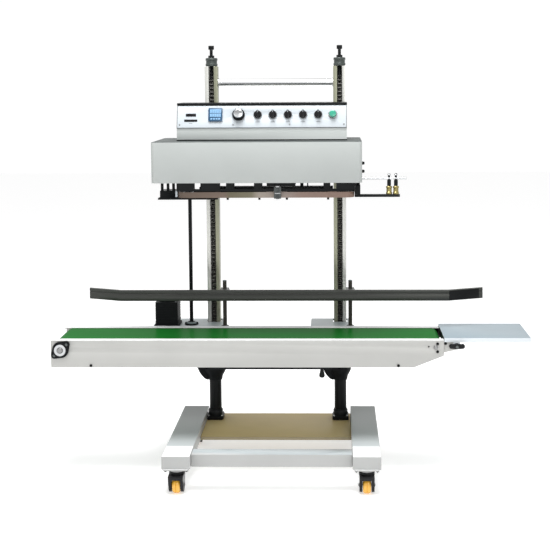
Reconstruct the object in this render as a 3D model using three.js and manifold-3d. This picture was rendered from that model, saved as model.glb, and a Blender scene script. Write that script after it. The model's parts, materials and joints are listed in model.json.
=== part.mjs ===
// Continuous band sealer on a castor base: a belt conveyor under a height-adjustable sealing head.
// Millimetres, +Z up, +X towards the infeed tray, -Y towards the operator.
// Working frame: X = 0 midway between the columns, Y = 0 on the column axes, Z = 0 on the floor.
// The whole assembly is shifted at the end so that its box is centred over the origin.
import * as THREE from "three";
import { mergeVertices } from "three/addons/utils/BufferGeometryUtils.js";
import Module from "manifold-3d";

const wasm = await Module();
wasm.setup();

const GAP = 0.3; // clearance between touching pieces

// Base frame
const RAIL_WIDTH = 83.5;
const RAIL_HEIGHT = 39;
const RAIL_BOTTOM = 76;
const RAIL_TOP = RAIL_BOTTOM + RAIL_HEIGHT;
const RAIL_FRONT = -478;
const RAIL_BACK = 54;
const RAIL_LEFT_X = -277.75;
const RAIL_RIGHT_X = 282.75;
const RAIL_CORNER = 3;
const BASE_INNER_LEFT = RAIL_LEFT_X + RAIL_WIDTH / 2 + GAP;
const BASE_INNER_RIGHT = RAIL_RIGHT_X - RAIL_WIDTH / 2 - GAP;
const BASE_PLATE_TOP = 90;
const BASE_PLATE_THICKNESS = 10;
const BASE_PLATE_FRONT = -209;
const FRONT_BAR_Y = -428;
const FRONT_BAR_DEPTH = 54;

// Castors
const WHEEL_RADIUS = 25;
const WHEEL_WIDTH = 25;
const CASTOR_TRAIL = 12;
const CASTOR_INSET = 32;
const AXLE_RADIUS = 4;
const FORK_HALF_WIDTH = 22;
const FORK_LEG = 8.5;
const CASTOR_PLATE = 72;

// Columns
const COLUMN_X = 208;
const TUBE_RADIUS = 20;
const TUBE_TOP = 400;
const CHANNEL_WIDTH = 41;
const CHANNEL_DEPTH = 40;
const CHANNEL_WALL = 3;
const CHANNEL_SLOT = 17;
const CHANNEL_TOP = 1258;
const COLUMN_TOP = 1325;
const CHAIN_Y = -7;
const HANDLE_BAR_Z = 1205;
const HANDLE_BAR_RADIUS = 12;

// Conveyor
const CONVEYOR_LEFT = -673;
const CONVEYOR_RIGHT = 519;
const CONVEYOR_FRONT = -335;
const CONVEYOR_REAR = -124;
const CONVEYOR_BOTTOM = 345;
const CONVEYOR_TOP = 428;
const SHEET = 3;
const FLANGE = 27;
const CORNER_CUT_X = 428;
const CORNER_CUT_Z = 381;
const BELT_THICKNESS = 2;
const BELT_TOP = 427;
const BELT_WIDTH = 150;
const BELT_Y = (CONVEYOR_FRONT + CONVEYOR_REAR) / 2;
const DRIVE_X = -642.5;
const DRIVE_RADIUS = 25;
const DRIVE_Z = BELT_TOP - BELT_THICKNESS - DRIVE_RADIUS;
const IDLER_X = 494;
const IDLER_RADIUS = 19;
const IDLER_Z = BELT_TOP - BELT_THICKNESS - IDLER_RADIUS;
const DRIVE_AXLE = 8;
const IDLER_AXLE = 6;

// Side lug of each column clamp, and the lever on the right one
const LUG_REACH = 66;
const LUG_HALF_DEPTH = 14;
const LEVER_X = COLUMN_X - 61;
const LEVER_Z = 300;

// Deck behind the conveyor, with the gear motor, the drive shaft and the guide posts
const DECK_BOTTOM = 415;
const DECK_TOP = 420;
const SHAFT_X = -277.5;
const SHAFT_Y = -60;
const SHAFT_RADIUS = 6;
const SHAFT_TOP = 1110;
const POST_X = [-163, 240];
const POST_Y = -110;
const POST_RADIUS = 6.3;
const POST_TOP = 574;
const GUIDE_Y = -172;
const GUIDE_DEPTH = 12;
const GUIDE_HEIGHT = 34;
const GUIDE_Z = 536;

// Infeed tray and its pivot
const TRAY_LEFT = 520;
const TRAY_RIGHT = 780;
const TRAY_TOP = 435;
const TRAY_LIP = 12;
const TRAY_SHEET = 2;
const PIVOT_X = 557;
const PIVOT_Z = 411;
const PIVOT_RADIUS = 4;
const ARM_RADIUS = 12;

// Sealing head
const HEAD_LEFT = -358;
const HEAD_RIGHT = 273;
const HEAD_FRONT = -340;
const HEAD_REAR = -44;
const HEAD_BOTTOM = 906;
const HEAD_TOP = 1028;
const HEAD_WALL = 3;
const HEAD_CORNER = 12;
const PLATE_BOTTOM = HEAD_BOTTOM + 1;
const PLATE_TOP = PLATE_BOTTOM + 6;
const CARRIAGE_TOP = 1013;
const CARRIAGE_HALF_WIDTH = 28;

// Bands, their wheels and the jaws
const SEAL_Y = -222;
const BAND_BOTTOM = 855.5;
const BAND_TOP = BAND_BOTTOM + 17.5;
const BAND_THICKNESS = 1;
const BAND_WHEEL_RADIUS = 26;
const BAND_WHEEL_X = [-262, 224];
const BAND_LOOP_OFFSET = BAND_WHEEL_RADIUS + BAND_THICKNESS + GAP / 2;
const WHEEL_AXLE = 5;
const JAW_DEPTH = 20;
const PRESS_X = 18;
const PRESS_RADIUS = 11;

// Hanger blocks in front of the bands: left, right and bottom of each
const HANGER_FRONT = -280;
const HANGER_BACK = -262;
const HANGER_BAR_BOTTOM = BAND_TOP + 1.5;
const HANGER_BAR_TOP = BAND_TOP + 9;
const HANGERS = [
  [-290, -236, HANGER_BAR_TOP - 1], [-217, -158, HANGER_BAR_TOP - 1], [-139, -114, HANGER_BAR_TOP - 1],
  [-54, -29, HANGER_BAR_TOP - 1], [-15, 73, 897], [157, 178, HANGER_BAR_TOP - 1], [196, 252, HANGER_BAR_TOP - 1],
];

// Bag mouth guide at the infeed end of the head
const GUIDE_LINE_Y = -233;
const PIN_X = [358, 379];
const INFEED_ROLLER_RADIUS = 9.5;

// Control box with its leaning panel
const BOX_LEFT = -292;
const BOX_RIGHT = 229;
const BOX_FRONT = -242;
const BOX_REAR = -80;
const BOX_BOTTOM = HEAD_TOP + GAP;
const BOX_TOP = 1142;
const BOX_SHEET = 2.5;
const PANEL_FOOT_Z = 1066;
const PANEL_LENGTH = 72;
const PANEL_LEAN = THREE.MathUtils.degToRad(20);
const PANEL_THICKNESS = 2.5;
const CONTROL_ROW = 42; // height of the control axes above the panel's foot, along its slope
const SELECTOR_PITCH = 46.3;
const SELECTOR_X = [0, 1, 2, 3, 4].map((step) => -44 + step * SELECTOR_PITCH);
const KNOB_X = -102.5;
const BUTTON_X = 186;
const DISPLAY_X = -173.5;
const INLET_Z = 1060;

const PAINT_GREY = { color: 0xc9cdcb, roughness: 0.45, metalness: 0.2 };
const PAINT_LIGHT = { color: 0xdadcd9, roughness: 0.4, metalness: 0.2 };
const BLACK = { color: 0x17191b, roughness: 0.5, metalness: 0.2 };
const STEEL = { color: 0xb9bdc0, roughness: 0.3, metalness: 0.9 };

// ---------------------------------------------------------------- helpers

/** Turns a closed geometry into a solid for booleans. */
function toSolid(geometry) {
  const clean = geometry.index ? geometry.toNonIndexed() : geometry.clone();
  clean.deleteAttribute("normal");
  clean.deleteAttribute("uv");
  const merged = mergeVertices(clean, 1e-3);
  return new wasm.Manifold(new wasm.Mesh({
    numProp: 3,
    vertProperties: new Float32Array(merged.attributes.position.array),
    triVerts: new Uint32Array(merged.index.array),
  }));
}

/** Turns a solid back into a geometry with flat normals. */
function toGeometry(solid) {
  const mesh = solid.getMesh();
  const geometry = new THREE.BufferGeometry();
  geometry.setAttribute("position", new THREE.BufferAttribute(new Float32Array(mesh.vertProperties), 3));
  geometry.setIndex(new THREE.BufferAttribute(new Uint32Array(mesh.triVerts), 1));
  geometry.computeVertexNormals();
  return geometry;
}

/** Joins the first list of geometries and cuts the second list away. */
function combine(adds, cuts = []) {
  let solid = toSolid(adds[0]);
  for (const piece of adds.slice(1)) {
    solid = solid.add(toSolid(piece));
  }
  for (const piece of cuts) {
    solid = solid.subtract(toSolid(piece));
  }
  return toGeometry(solid);
}

/** A box given by its limits on each axis. */
function block(x0, x1, y0, y1, z0, z1) {
  const geometry = new THREE.BoxGeometry(x1 - x0, y1 - y0, z1 - z0);
  geometry.translate((x0 + x1) / 2, (y0 + y1) / 2, (z0 + z1) / 2);
  return geometry;
}

/** Sides of a round piece: more on a larger radius. */
function sidesFor(radius) {
  return Math.min(24, 8 + 2 * Math.round(radius / 3.5));
}

/** A cylinder along Z between two heights. */
function cylinderZ(x, y, z0, z1, radius, segments = sidesFor(radius)) {
  const geometry = new THREE.CylinderGeometry(radius, radius, z1 - z0, segments);
  geometry.rotateX(Math.PI / 2);
  geometry.translate(x, y, (z0 + z1) / 2);
  return geometry;
}

/** A cylinder along X. */
function cylinderX(x0, x1, y, z, radius, segments = sidesFor(radius)) {
  const geometry = new THREE.CylinderGeometry(radius, radius, x1 - x0, segments);
  geometry.rotateZ(Math.PI / 2);
  geometry.translate((x0 + x1) / 2, y, z);
  return geometry;
}

/** A cylinder along Y. */
function cylinderY(x, y0, y1, z, radius, segments = sidesFor(radius)) {
  const geometry = new THREE.CylinderGeometry(radius, radius, y1 - y0, segments);
  geometry.translate(x, (y0 + y1) / 2, z);
  return geometry;
}

/** A lathe about Z from [radius, height] pairs. */
function latheZ(profile, segments = 20) {
  const points = profile.map(([radius, height]) => new THREE.Vector2(radius, height));
  const geometry = new THREE.LatheGeometry(points, segments);
  geometry.rotateX(Math.PI / 2);
  return geometry;
}

/** A closed shape from [a, b] pairs. */
function shapeFrom(points) {
  return new THREE.Shape(points.map(([a, b]) => new THREE.Vector2(a, b)));
}

/** Extrudes a shape drawn in X, Y upwards from z0 to z1. */
function extrudeZ(shape, z0, z1, curveSegments = 8) {
  const geometry = new THREE.ExtrudeGeometry(shape, { depth: z1 - z0, bevelEnabled: false, curveSegments });
  geometry.translate(0, 0, z0);
  return geometry;
}

/** Extrudes a shape drawn in X, Z along Y from y0 to y1. */
function extrudeY(shape, y0, y1, curveSegments = 8) {
  const geometry = new THREE.ExtrudeGeometry(shape, { depth: y1 - y0, bevelEnabled: false, curveSegments });
  geometry.rotateX(Math.PI / 2);
  geometry.translate(0, y1, 0);
  return geometry;
}

/** Extrudes a shape drawn in Y, Z along X from x0 to x1. */
function extrudeX(shape, x0, x1, curveSegments = 8) {
  const geometry = new THREE.ExtrudeGeometry(shape, { depth: x1 - x0, bevelEnabled: false, curveSegments });
  geometry.rotateZ(Math.PI / 2);
  geometry.rotateY(Math.PI / 2);
  geometry.translate(x0, 0, 0);
  return geometry;
}

/** A rectangle with rounded corners. */
function roundedRectangle(a0, a1, b0, b1, radius) {
  const shape = new THREE.Shape();
  shape.moveTo(a0 + radius, b0);
  shape.lineTo(a1 - radius, b0);
  shape.absarc(a1 - radius, b0 + radius, radius, -Math.PI / 2, 0);
  shape.lineTo(a1, b1 - radius);
  shape.absarc(a1 - radius, b1 - radius, radius, 0, Math.PI / 2);
  shape.lineTo(a0 + radius, b1);
  shape.absarc(a0 + radius, b1 - radius, radius, Math.PI / 2, Math.PI);
  shape.lineTo(a0, b0 + radius);
  shape.absarc(a0 + radius, b0 + radius, radius, Math.PI, Math.PI * 1.5);
  return shape;
}

/** The outline of a belt stretched over two pulleys, leftmost and rightmost, seen along the axles. */
function beltOutline(leftA, leftB, leftRadius, rightA, rightB, rightRadius) {
  const tilt = Math.atan2(rightB - leftB, rightA - leftA);
  const spread = Math.acos((leftRadius - rightRadius) / Math.hypot(rightA - leftA, rightB - leftB));
  const outline = new THREE.Shape();
  outline.absarc(leftA, leftB, leftRadius, tilt + spread, tilt + 2 * Math.PI - spread);
  outline.absarc(rightA, rightB, rightRadius, tilt - spread, tilt + spread);
  return outline;
}

const machine = new THREE.Group();

/** Adds one named piece with its own material and returns the mesh. */
function addPiece(name, geometry, look, parent = machine) {
  const mesh = new THREE.Mesh(geometry, new THREE.MeshStandardMaterial(look));
  mesh.name = name;
  parent.add(mesh);
  return mesh;
}

// ---------------------------------------------------------------- base

function railSide(x) {
  const halfPlate = CASTOR_PLATE / 2;
  const rail = extrudeY(
    roundedRectangle(x - RAIL_WIDTH / 2, x + RAIL_WIDTH / 2, RAIL_BOTTOM, RAIL_TOP, RAIL_CORNER),
    RAIL_FRONT, RAIL_BACK, 3);
  const plates = [RAIL_FRONT + CASTOR_INSET, RAIL_BACK - CASTOR_INSET].map((y) =>
    block(x - halfPlate, x + halfPlate, y - halfPlate, y + halfPlate, RAIL_BOTTOM - 3, RAIL_BOTTOM + 1));
  return combine([rail, ...plates]);
}

function columnTube(x) {
  const flangeTop = BASE_PLATE_TOP + 12;
  return combine([
    block(x - 27, x + 27, -27, 27, BASE_PLATE_TOP + GAP, flangeTop),
    cylinderZ(x, 0, flangeTop - 1, flangeTop + 24, 24),
    cylinderZ(x, 0, flangeTop, TUBE_TOP, TUBE_RADIUS),
  ]);
}

function columnChannel(x) {
  const half = CHANNEL_WIDTH / 2;
  const front = -CHANNEL_DEPTH / 2;
  const back = CHANNEL_DEPTH / 2;
  const slot = CHANNEL_SLOT / 2;
  const section = shapeFrom([
    [x - half, front], [x - slot, front], [x - slot, front + CHANNEL_WALL],
    [x - half + CHANNEL_WALL, front + CHANNEL_WALL], [x - half + CHANNEL_WALL, back - CHANNEL_WALL],
    [x + half - CHANNEL_WALL, back - CHANNEL_WALL], [x + half - CHANNEL_WALL, front + CHANNEL_WALL],
    [x + slot, front + CHANNEL_WALL], [x + slot, front], [x + half, front],
    [x + half, back], [x - half, back],
  ]);
  return extrudeZ(section, TUBE_TOP + GAP, CHANNEL_TOP);
}

/** Chain strand with the threaded tension bolt, its seat on the column's top and the bolt's head. */
function liftChain(x) {
  const seatBottom = CHANNEL_TOP + GAP;
  return combine([
    block(x - 6, x + 6, CHAIN_Y - 6, CHAIN_Y + 6, TUBE_TOP + 5, CHANNEL_TOP - 30),
    cylinderZ(x, CHAIN_Y, CHANNEL_TOP - 31, COLUMN_TOP - 1, 5.5),
    cylinderZ(x, 0, seatBottom, seatBottom + 27, 19.5),
    cylinderZ(x, CHAIN_Y, COLUMN_TOP - 12, COLUMN_TOP, 10),
  ]);
}

function buildBase() {
  addPiece("rail_left", railSide(RAIL_LEFT_X), PAINT_LIGHT);
  addPiece("rail_right", railSide(RAIL_RIGHT_X), PAINT_LIGHT);
  addPiece("cross_bar_front", block(BASE_INNER_LEFT, BASE_INNER_RIGHT, FRONT_BAR_Y - FRONT_BAR_DEPTH / 2,
    FRONT_BAR_Y + FRONT_BAR_DEPTH / 2, RAIL_BOTTOM + 1, RAIL_TOP - 1), PAINT_LIGHT);
  addPiece("base_plate", block(BASE_INNER_LEFT, BASE_INNER_RIGHT, BASE_PLATE_FRONT, RAIL_BACK,
    BASE_PLATE_TOP - BASE_PLATE_THICKNESS, BASE_PLATE_TOP), { color: 0x9a8a60, roughness: 0.6, metalness: 0 });
  for (const [side, x] of [["left", -COLUMN_X], ["right", COLUMN_X]]) {
    addPiece(`column_tube_${side}`, columnTube(x), BLACK);
    addPiece(`column_channel_${side}`, columnChannel(x), { color: 0xb9bab2, roughness: 0.4, metalness: 0.6 });
    addPiece(`lift_chain_${side}`, liftChain(x), { color: 0x2b2c2a, roughness: 0.4, metalness: 0.8 });
  }
  const barEnd = COLUMN_X - CHANNEL_WIDTH / 2 - GAP;
  addPiece("top_handle_bar", cylinderX(-barEnd, barEnd, 0, HANDLE_BAR_Z, HANDLE_BAR_RADIUS), STEEL);
}

// ---------------------------------------------------------------- castors

/** Swivel fork with its hood, bearing dome and axle, around a swivel axis at x, y. */
function castorFork(x, y) {
  const axleY = y - CASTOR_TRAIL;
  const hoodFront = axleY - WHEEL_RADIUS - 4;
  const hoodTop = 58;
  const hoodBottom = 46;
  const legShape = new THREE.Shape();
  legShape.moveTo(y + 20, hoodTop);
  legShape.lineTo(hoodFront, hoodTop);
  legShape.lineTo(hoodFront, hoodBottom);
  legShape.absarc(axleY, WHEEL_RADIUS - 1, 20, Math.PI, 2 * Math.PI);
  const legs = [-1, 1].map((side) => {
    const outer = x + side * FORK_HALF_WIDTH;
    const inner = outer - side * FORK_LEG;
    return extrudeX(legShape, Math.min(outer, inner), Math.max(outer, inner), 5);
  });
  return combine([
    cylinderZ(x, y, RAIL_BOTTOM - 15, RAIL_BOTTOM - 3 - GAP, 17),
    cylinderZ(x, y, 53, 62.5, 24),
    block(x - FORK_HALF_WIDTH, x + FORK_HALF_WIDTH, hoodFront, y, 53, hoodTop),
    block(x - FORK_HALF_WIDTH, x + FORK_HALF_WIDTH, hoodFront, hoodFront + 2.5, hoodBottom, hoodTop),
    ...legs,
    cylinderX(x - FORK_HALF_WIDTH - 3, x + FORK_HALF_WIDTH + 3, axleY, WHEEL_RADIUS, AXLE_RADIUS),
  ]);
}

function castorWheel(x, y) {
  const half = WHEEL_WIDTH / 2;
  const bore = AXLE_RADIUS + 0.5;
  const wheel = latheZ([
    [bore, -half], [WHEEL_RADIUS - 8, -half], [WHEEL_RADIUS - 3, -half + 2], [WHEEL_RADIUS, -half + 7],
    [WHEEL_RADIUS, half - 7], [WHEEL_RADIUS - 3, half - 2], [WHEEL_RADIUS - 8, half], [bore, half],
    [bore, -half],
  ]);
  wheel.rotateY(Math.PI / 2);
  wheel.translate(x, y - CASTOR_TRAIL, WHEEL_RADIUS);
  return wheel;
}

function buildCastors() {
  const places = [
    ["front_left", RAIL_LEFT_X, RAIL_FRONT + CASTOR_INSET],
    ["front_right", RAIL_RIGHT_X, RAIL_FRONT + CASTOR_INSET],
    ["rear_left", RAIL_LEFT_X, RAIL_BACK - CASTOR_INSET],
    ["rear_right", RAIL_RIGHT_X, RAIL_BACK - CASTOR_INSET],
  ];
  for (const [place, x, y] of places) {
    addPiece(`castor_fork_${place}`, castorFork(x, y), BLACK);
    addPiece(`castor_wheel_${place}`, castorWheel(x, y), { color: 0xe1a52d, roughness: 0.35, metalness: 0 });
  }
}

// ---------------------------------------------------------------- conveyor

/** Folded side plate: a web with a top and a bottom flange, its infeed corner cut at an angle. */
function sidePlate(webY, inward) {
  const range = (a, b) => [Math.min(a, b), Math.max(a, b)];
  const outline = shapeFrom([
    [CONVEYOR_LEFT, CONVEYOR_BOTTOM], [CORNER_CUT_X, CONVEYOR_BOTTOM], [CONVEYOR_RIGHT, CORNER_CUT_Z],
    [CONVEYOR_RIGHT, CONVEYOR_TOP], [CONVEYOR_LEFT, CONVEYOR_TOP],
  ]);
  const web = extrudeY(outline, ...range(webY, webY + inward * SHEET));
  const flangeY = range(webY, webY + inward * FLANGE);
  const topFlange = block(CONVEYOR_LEFT, CONVEYOR_RIGHT, ...flangeY, CONVEYOR_TOP - SHEET, CONVEYOR_TOP);
  const bottomFlange = block(CONVEYOR_LEFT + 40, CORNER_CUT_X, ...flangeY, CONVEYOR_BOTTOM,
    CONVEYOR_BOTTOM + SHEET);
  const holes = [
    cylinderY(DRIVE_X, ...range(webY - inward, webY + inward * 5), DRIVE_Z, DRIVE_AXLE + 0.5),
    cylinderY(IDLER_X, ...range(webY - inward, webY + inward * 5), IDLER_Z, IDLER_AXLE + 0.5),
  ];
  return combine([web, topFlange, bottomFlange], holes);
}

function beltLoop() {
  const outer = beltOutline(DRIVE_X, DRIVE_Z, DRIVE_RADIUS + BELT_THICKNESS, IDLER_X, IDLER_Z,
    IDLER_RADIUS + BELT_THICKNESS);
  outer.holes.push(beltOutline(DRIVE_X, DRIVE_Z, DRIVE_RADIUS + GAP, IDLER_X, IDLER_Z, IDLER_RADIUS + GAP));
  return extrudeY(outer, BELT_Y - BELT_WIDTH / 2, BELT_Y + BELT_WIDTH / 2, 10);
}

function roller(x, z, radius, axleRadius, overhangFront, overhangRear) {
  const half = BELT_WIDTH / 2 - 2;
  return combine([
    cylinderY(x, BELT_Y - half, BELT_Y + half, z, radius),
    cylinderY(x, CONVEYOR_FRONT - overhangFront, CONVEYOR_REAR + overhangRear, z, axleRadius),
  ]);
}

/** Two-bolt rhombic bearing housing on the front side plate. */
function flangeBearing() {
  const lobe = 26;
  const tilt = THREE.MathUtils.degToRad(40);
  const pieces = [cylinderY(DRIVE_X, CONVEYOR_FRONT - 9, CONVEYOR_FRONT - GAP, DRIVE_Z, 21)];
  for (const side of [-1, 1]) {
    const ear = cylinderY(DRIVE_X + side * lobe * Math.cos(tilt), CONVEYOR_FRONT - 7, CONVEYOR_FRONT - GAP,
      DRIVE_Z + side * lobe * Math.sin(tilt), 9);
    pieces.push(ear);
  }
  const bar = new THREE.BoxGeometry(2 * lobe, 7 - GAP, 18);
  bar.rotateY(-tilt);
  bar.translate(DRIVE_X, CONVEYOR_FRONT - (7 + GAP) / 2, DRIVE_Z);
  pieces.push(bar);
  const ring = cylinderY(DRIVE_X, CONVEYOR_FRONT - 14, CONVEYOR_FRONT - 8, DRIVE_Z, 14);
  const bore = cylinderY(DRIVE_X, CONVEYOR_FRONT - 20, CONVEYOR_FRONT + 5, DRIVE_Z, DRIVE_AXLE + 0.5);
  return combine([...pieces, ring], [bore]);
}

/** Castings that clamp on both column tubes, each with a side lug, joined under the conveyor by a bar. */
function conveyorSupport() {
  const top = CONVEYOR_BOTTOM - GAP;
  const pieces = [block(-COLUMN_X, COLUMN_X, -300, -280, 330, top)];
  const bores = [];
  for (const x of [-COLUMN_X, COLUMN_X]) {
    const bowl = latheZ([[0, 222], [23, 222], [24, 234], [31, 246], [36, 260], [37, 330], [0, 330]]);
    bowl.translate(x, 0, 0);
    const lug = extrudeY(shapeFrom([
      [x, 222], [x, top], [x - LUG_REACH, top], [x - LUG_REACH, 300], [x - 58, 262], [x - 52, 248],
      [x - 44, 236], [x - 34, 226], [x - 24, 222],
    ].reverse()), -LUG_HALF_DEPTH, LUG_HALF_DEPTH);
    const gusset = extrudeX(shapeFrom([[-300, 331], [-30, 285], [0, 285], [0, top], [-300, top]]),
      x - 10, x + 10);
    pieces.push(bowl, lug, gusset, block(x - 34, x + 34, -36, 30, 328, top));
    bores.push(cylinderZ(x, 0, 200, 360, TUBE_RADIUS + 0.4));
  }
  return combine(pieces, bores);
}

/** Hanging lever in front of the right lug that locks the conveyor's height. */
function clampLever() {
  const back = -LUG_HALF_DEPTH - GAP;
  return combine([
    cylinderY(LEVER_X, back - 13, back, LEVER_Z, 8),
    extrudeY(shapeFrom([
      [LEVER_X - 5, LEVER_Z], [LEVER_X - 10, 242], [LEVER_X - 6, 232], [LEVER_X + 6, 232], [LEVER_X + 10, 242],
      [LEVER_X + 5, LEVER_Z],
    ]), back - 12, back - 3),
  ]);
}

/** Deck plate with two wings round the columns, the shaft's bearing ring and the two guide posts. */
function deckPlate() {
  const front = CONVEYOR_REAR + GAP;
  const strip = block(-400, 262, front, -92, DECK_BOTTOM, DECK_TOP);
  const leftWing = block(-400, -170, front, 32, DECK_BOTTOM, DECK_TOP);
  const rightWing = block(112, 240, front, 32, DECK_BOTTOM, DECK_TOP);
  const ring = cylinderZ(SHAFT_X, SHAFT_Y, DECK_TOP - 1, DECK_TOP + 9, 17);
  const posts = POST_X.flatMap((x) => [
    cylinderZ(x, POST_Y, DECK_TOP - 1, POST_TOP, POST_RADIUS),
    cylinderZ(x, POST_Y, DECK_TOP - 1, DECK_TOP + 6, 12),
  ]);
  const columnHoles = [-COLUMN_X, COLUMN_X].map((x) => block(x - 24, x + 24, -24, 24, 400, 430));
  const shaftHole = cylinderZ(SHAFT_X, SHAFT_Y, 400, 440, SHAFT_RADIUS + 0.5);
  return combine([strip, leftWing, rightWing, ring, ...posts], [...columnHoles, shaftHole]);
}

function gearMotor() {
  const bottom = DECK_TOP + GAP;
  return combine([
    block(-389, -317, -106, -26, bottom, 500),
    block(-393, -313, -110, -22, bottom, bottom + 6),
    cylinderZ(-353, -66, 499, 507, 30),
  ]);
}

/** Guide rail outline seen from above, with both ends bent back, at a given depth range. */
function guideOutline(front, back) {
  return shapeFrom([
    [-594, front + 45], [-486, front], [548, front], [660, front + 45],
    [660, back + 45], [548, back], [-486, back], [-594, back + 45],
  ]);
}

function guideRail() {
  const bottom = GUIDE_Z - GUIDE_HEIGHT / 2;
  const top = GUIDE_Z + GUIDE_HEIGHT / 2;
  const bar = extrudeZ(guideOutline(GUIDE_Y - GUIDE_DEPTH / 2, GUIDE_Y + GUIDE_DEPTH / 2), bottom, top);
  const groove = extrudeZ(guideOutline(GUIDE_Y - GUIDE_DEPTH / 2 - 1, GUIDE_Y - GUIDE_DEPTH / 2 + 2.5),
    GUIDE_Z + 4, GUIDE_Z + 8);
  const arms = POST_X.map((x) => block(x - 13, x + 13, GUIDE_Y + 5, POST_Y + 14, GUIDE_Z - 12, GUIDE_Z + 12));
  const bores = POST_X.map((x) => cylinderZ(x, POST_Y, bottom - 5, top + 5, POST_RADIUS + 0.4));
  return combine([bar, ...arms], [groove, ...bores]);
}

/** Two round-ended arms and a cross web that hold the tray's pivot at the conveyor's infeed end. */
function trayBracket() {
  const arm = new THREE.Shape();
  arm.moveTo(506, 387);
  arm.lineTo(PIVOT_X, PIVOT_Z - ARM_RADIUS);
  arm.absarc(PIVOT_X, PIVOT_Z, ARM_RADIUS, -Math.PI / 2, Math.PI / 2);
  arm.lineTo(506, PIVOT_Z + ARM_RADIUS);
  const frontIn = CONVEYOR_FRONT + SHEET + GAP;
  const rearIn = CONVEYOR_REAR - SHEET - GAP;
  const web = block(524, 527, frontIn, rearIn, PIVOT_Z - ARM_RADIUS, PIVOT_Z + ARM_RADIUS);
  const rearPin = cylinderY(PIVOT_X, rearIn - SHEET, CONVEYOR_REAR + 3, PIVOT_Z, PIVOT_RADIUS);
  const frontHole = cylinderY(PIVOT_X, frontIn - 2, frontIn + 6, PIVOT_Z, PIVOT_RADIUS + 0.4);
  return combine([
    extrudeY(arm, frontIn, frontIn + SHEET),
    extrudeY(arm, rearIn - SHEET, rearIn),
    web, rearPin,
  ], [frontHole]);
}

/** Folded tray with a lip on three sides and two pivot ears. */
function infeedTray() {
  const inset = TRAY_SHEET;
  const shell = block(TRAY_LEFT, TRAY_RIGHT, CONVEYOR_FRONT, CONVEYOR_REAR, TRAY_TOP - TRAY_LIP, TRAY_TOP);
  const hollow = block(TRAY_LEFT - 5, TRAY_RIGHT - inset, CONVEYOR_FRONT + inset, CONVEYOR_REAR - inset,
    TRAY_TOP - TRAY_LIP - 5, TRAY_TOP - inset);
  const ear = new THREE.Shape();
  ear.moveTo(PIVOT_X + 10, TRAY_TOP - 5);
  ear.lineTo(PIVOT_X - 10, TRAY_TOP - 5);
  ear.absarc(PIVOT_X, PIVOT_Z, 10, Math.PI, 2 * Math.PI);
  const ears = [
    extrudeY(ear, CONVEYOR_FRONT, CONVEYOR_FRONT + inset),
    extrudeY(ear, CONVEYOR_REAR - inset, CONVEYOR_REAR),
  ];
  const pivotHole = cylinderY(PIVOT_X, CONVEYOR_FRONT - 5, CONVEYOR_REAR + 5, PIVOT_Z, PIVOT_RADIUS + 0.4);
  return combine([shell, ...ears], [hollow, pivotHole]);
}

/** Wing knob on the front pivot stud. */
function trayKnob() {
  const face = CONVEYOR_FRONT - GAP;
  return combine([
    cylinderY(PIVOT_X, face - 12, face, PIVOT_Z, 9),
    block(PIVOT_X - 24, PIVOT_X + 24, face - 14, face - 6, PIVOT_Z - 5, PIVOT_Z + 7),
    cylinderY(PIVOT_X, face - 1, CONVEYOR_FRONT + 12, PIVOT_Z, PIVOT_RADIUS),
  ]);
}

function buildConveyor() {
  addPiece("conveyor_side_front", sidePlate(CONVEYOR_FRONT, 1), PAINT_GREY);
  addPiece("conveyor_side_rear", sidePlate(CONVEYOR_REAR, -1), PAINT_GREY);
  const bedTop = BELT_TOP - BELT_THICKNESS - 0.4;
  addPiece("belt_bed", block(-595, 468, CONVEYOR_FRONT + SHEET + GAP, CONVEYOR_REAR - SHEET - GAP,
    bedTop - SHEET, bedTop), STEEL);
  addPiece("conveyor_belt", beltLoop(), { color: 0x2f7a3c, roughness: 0.35, metalness: 0 });
  addPiece("drive_roller", roller(DRIVE_X, DRIVE_Z, DRIVE_RADIUS, DRIVE_AXLE, 15, 8), STEEL);
  addPiece("idler_roller", roller(IDLER_X, IDLER_Z, IDLER_RADIUS, IDLER_AXLE, 4, 4), STEEL);
  addPiece("flange_bearing", flangeBearing(), BLACK);
  addPiece("conveyor_support", conveyorSupport(), BLACK);
  addPiece("clamp_lever", clampLever(), BLACK);
  addPiece("deck_plate", deckPlate(), PAINT_GREY);
  addPiece("gear_motor", gearMotor(), BLACK);
  addPiece("drive_shaft", cylinderZ(SHAFT_X, SHAFT_Y, 392, SHAFT_TOP, SHAFT_RADIUS), BLACK);
  addPiece("guide_rail", guideRail(), { color: 0x484a47, roughness: 0.4, metalness: 0.5 });
  addPiece("tray_bracket", trayBracket(), PAINT_LIGHT);
  addPiece("infeed_tray", infeedTray(), { color: 0xbfcdd6, roughness: 0.3, metalness: 0.4 });
  addPiece("tray_knob", trayKnob(), BLACK);
}

// ---------------------------------------------------------------- sealing head

/** Cover open at the bottom, with notches for the carriage tabs and a hole for the drive shaft. */
function headCover() {
  const outer = extrudeZ(roundedRectangle(HEAD_LEFT, HEAD_RIGHT, HEAD_FRONT, HEAD_REAR, HEAD_CORNER),
    HEAD_BOTTOM, HEAD_TOP, 5);
  const inner = extrudeZ(roundedRectangle(HEAD_LEFT + HEAD_WALL, HEAD_RIGHT - HEAD_WALL,
    HEAD_FRONT + HEAD_WALL, HEAD_REAR - HEAD_WALL, HEAD_CORNER - HEAD_WALL),
    HEAD_BOTTOM - 5, HEAD_TOP - HEAD_WALL, 5);
  const notches = [-COLUMN_X, COLUMN_X].map((x) => block(x - CARRIAGE_HALF_WIDTH - 2,
    x + CARRIAGE_HALF_WIDTH + 2, HEAD_REAR - 10, HEAD_REAR + 5, HEAD_BOTTOM - 5, PLATE_TOP + 1));
  const shaftHole = cylinderZ(SHAFT_X, SHAFT_Y, HEAD_TOP - 10, HEAD_TOP + 5, SHAFT_RADIUS + 2);
  return combine([outer], [inner, ...notches, shaftHole]);
}

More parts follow.
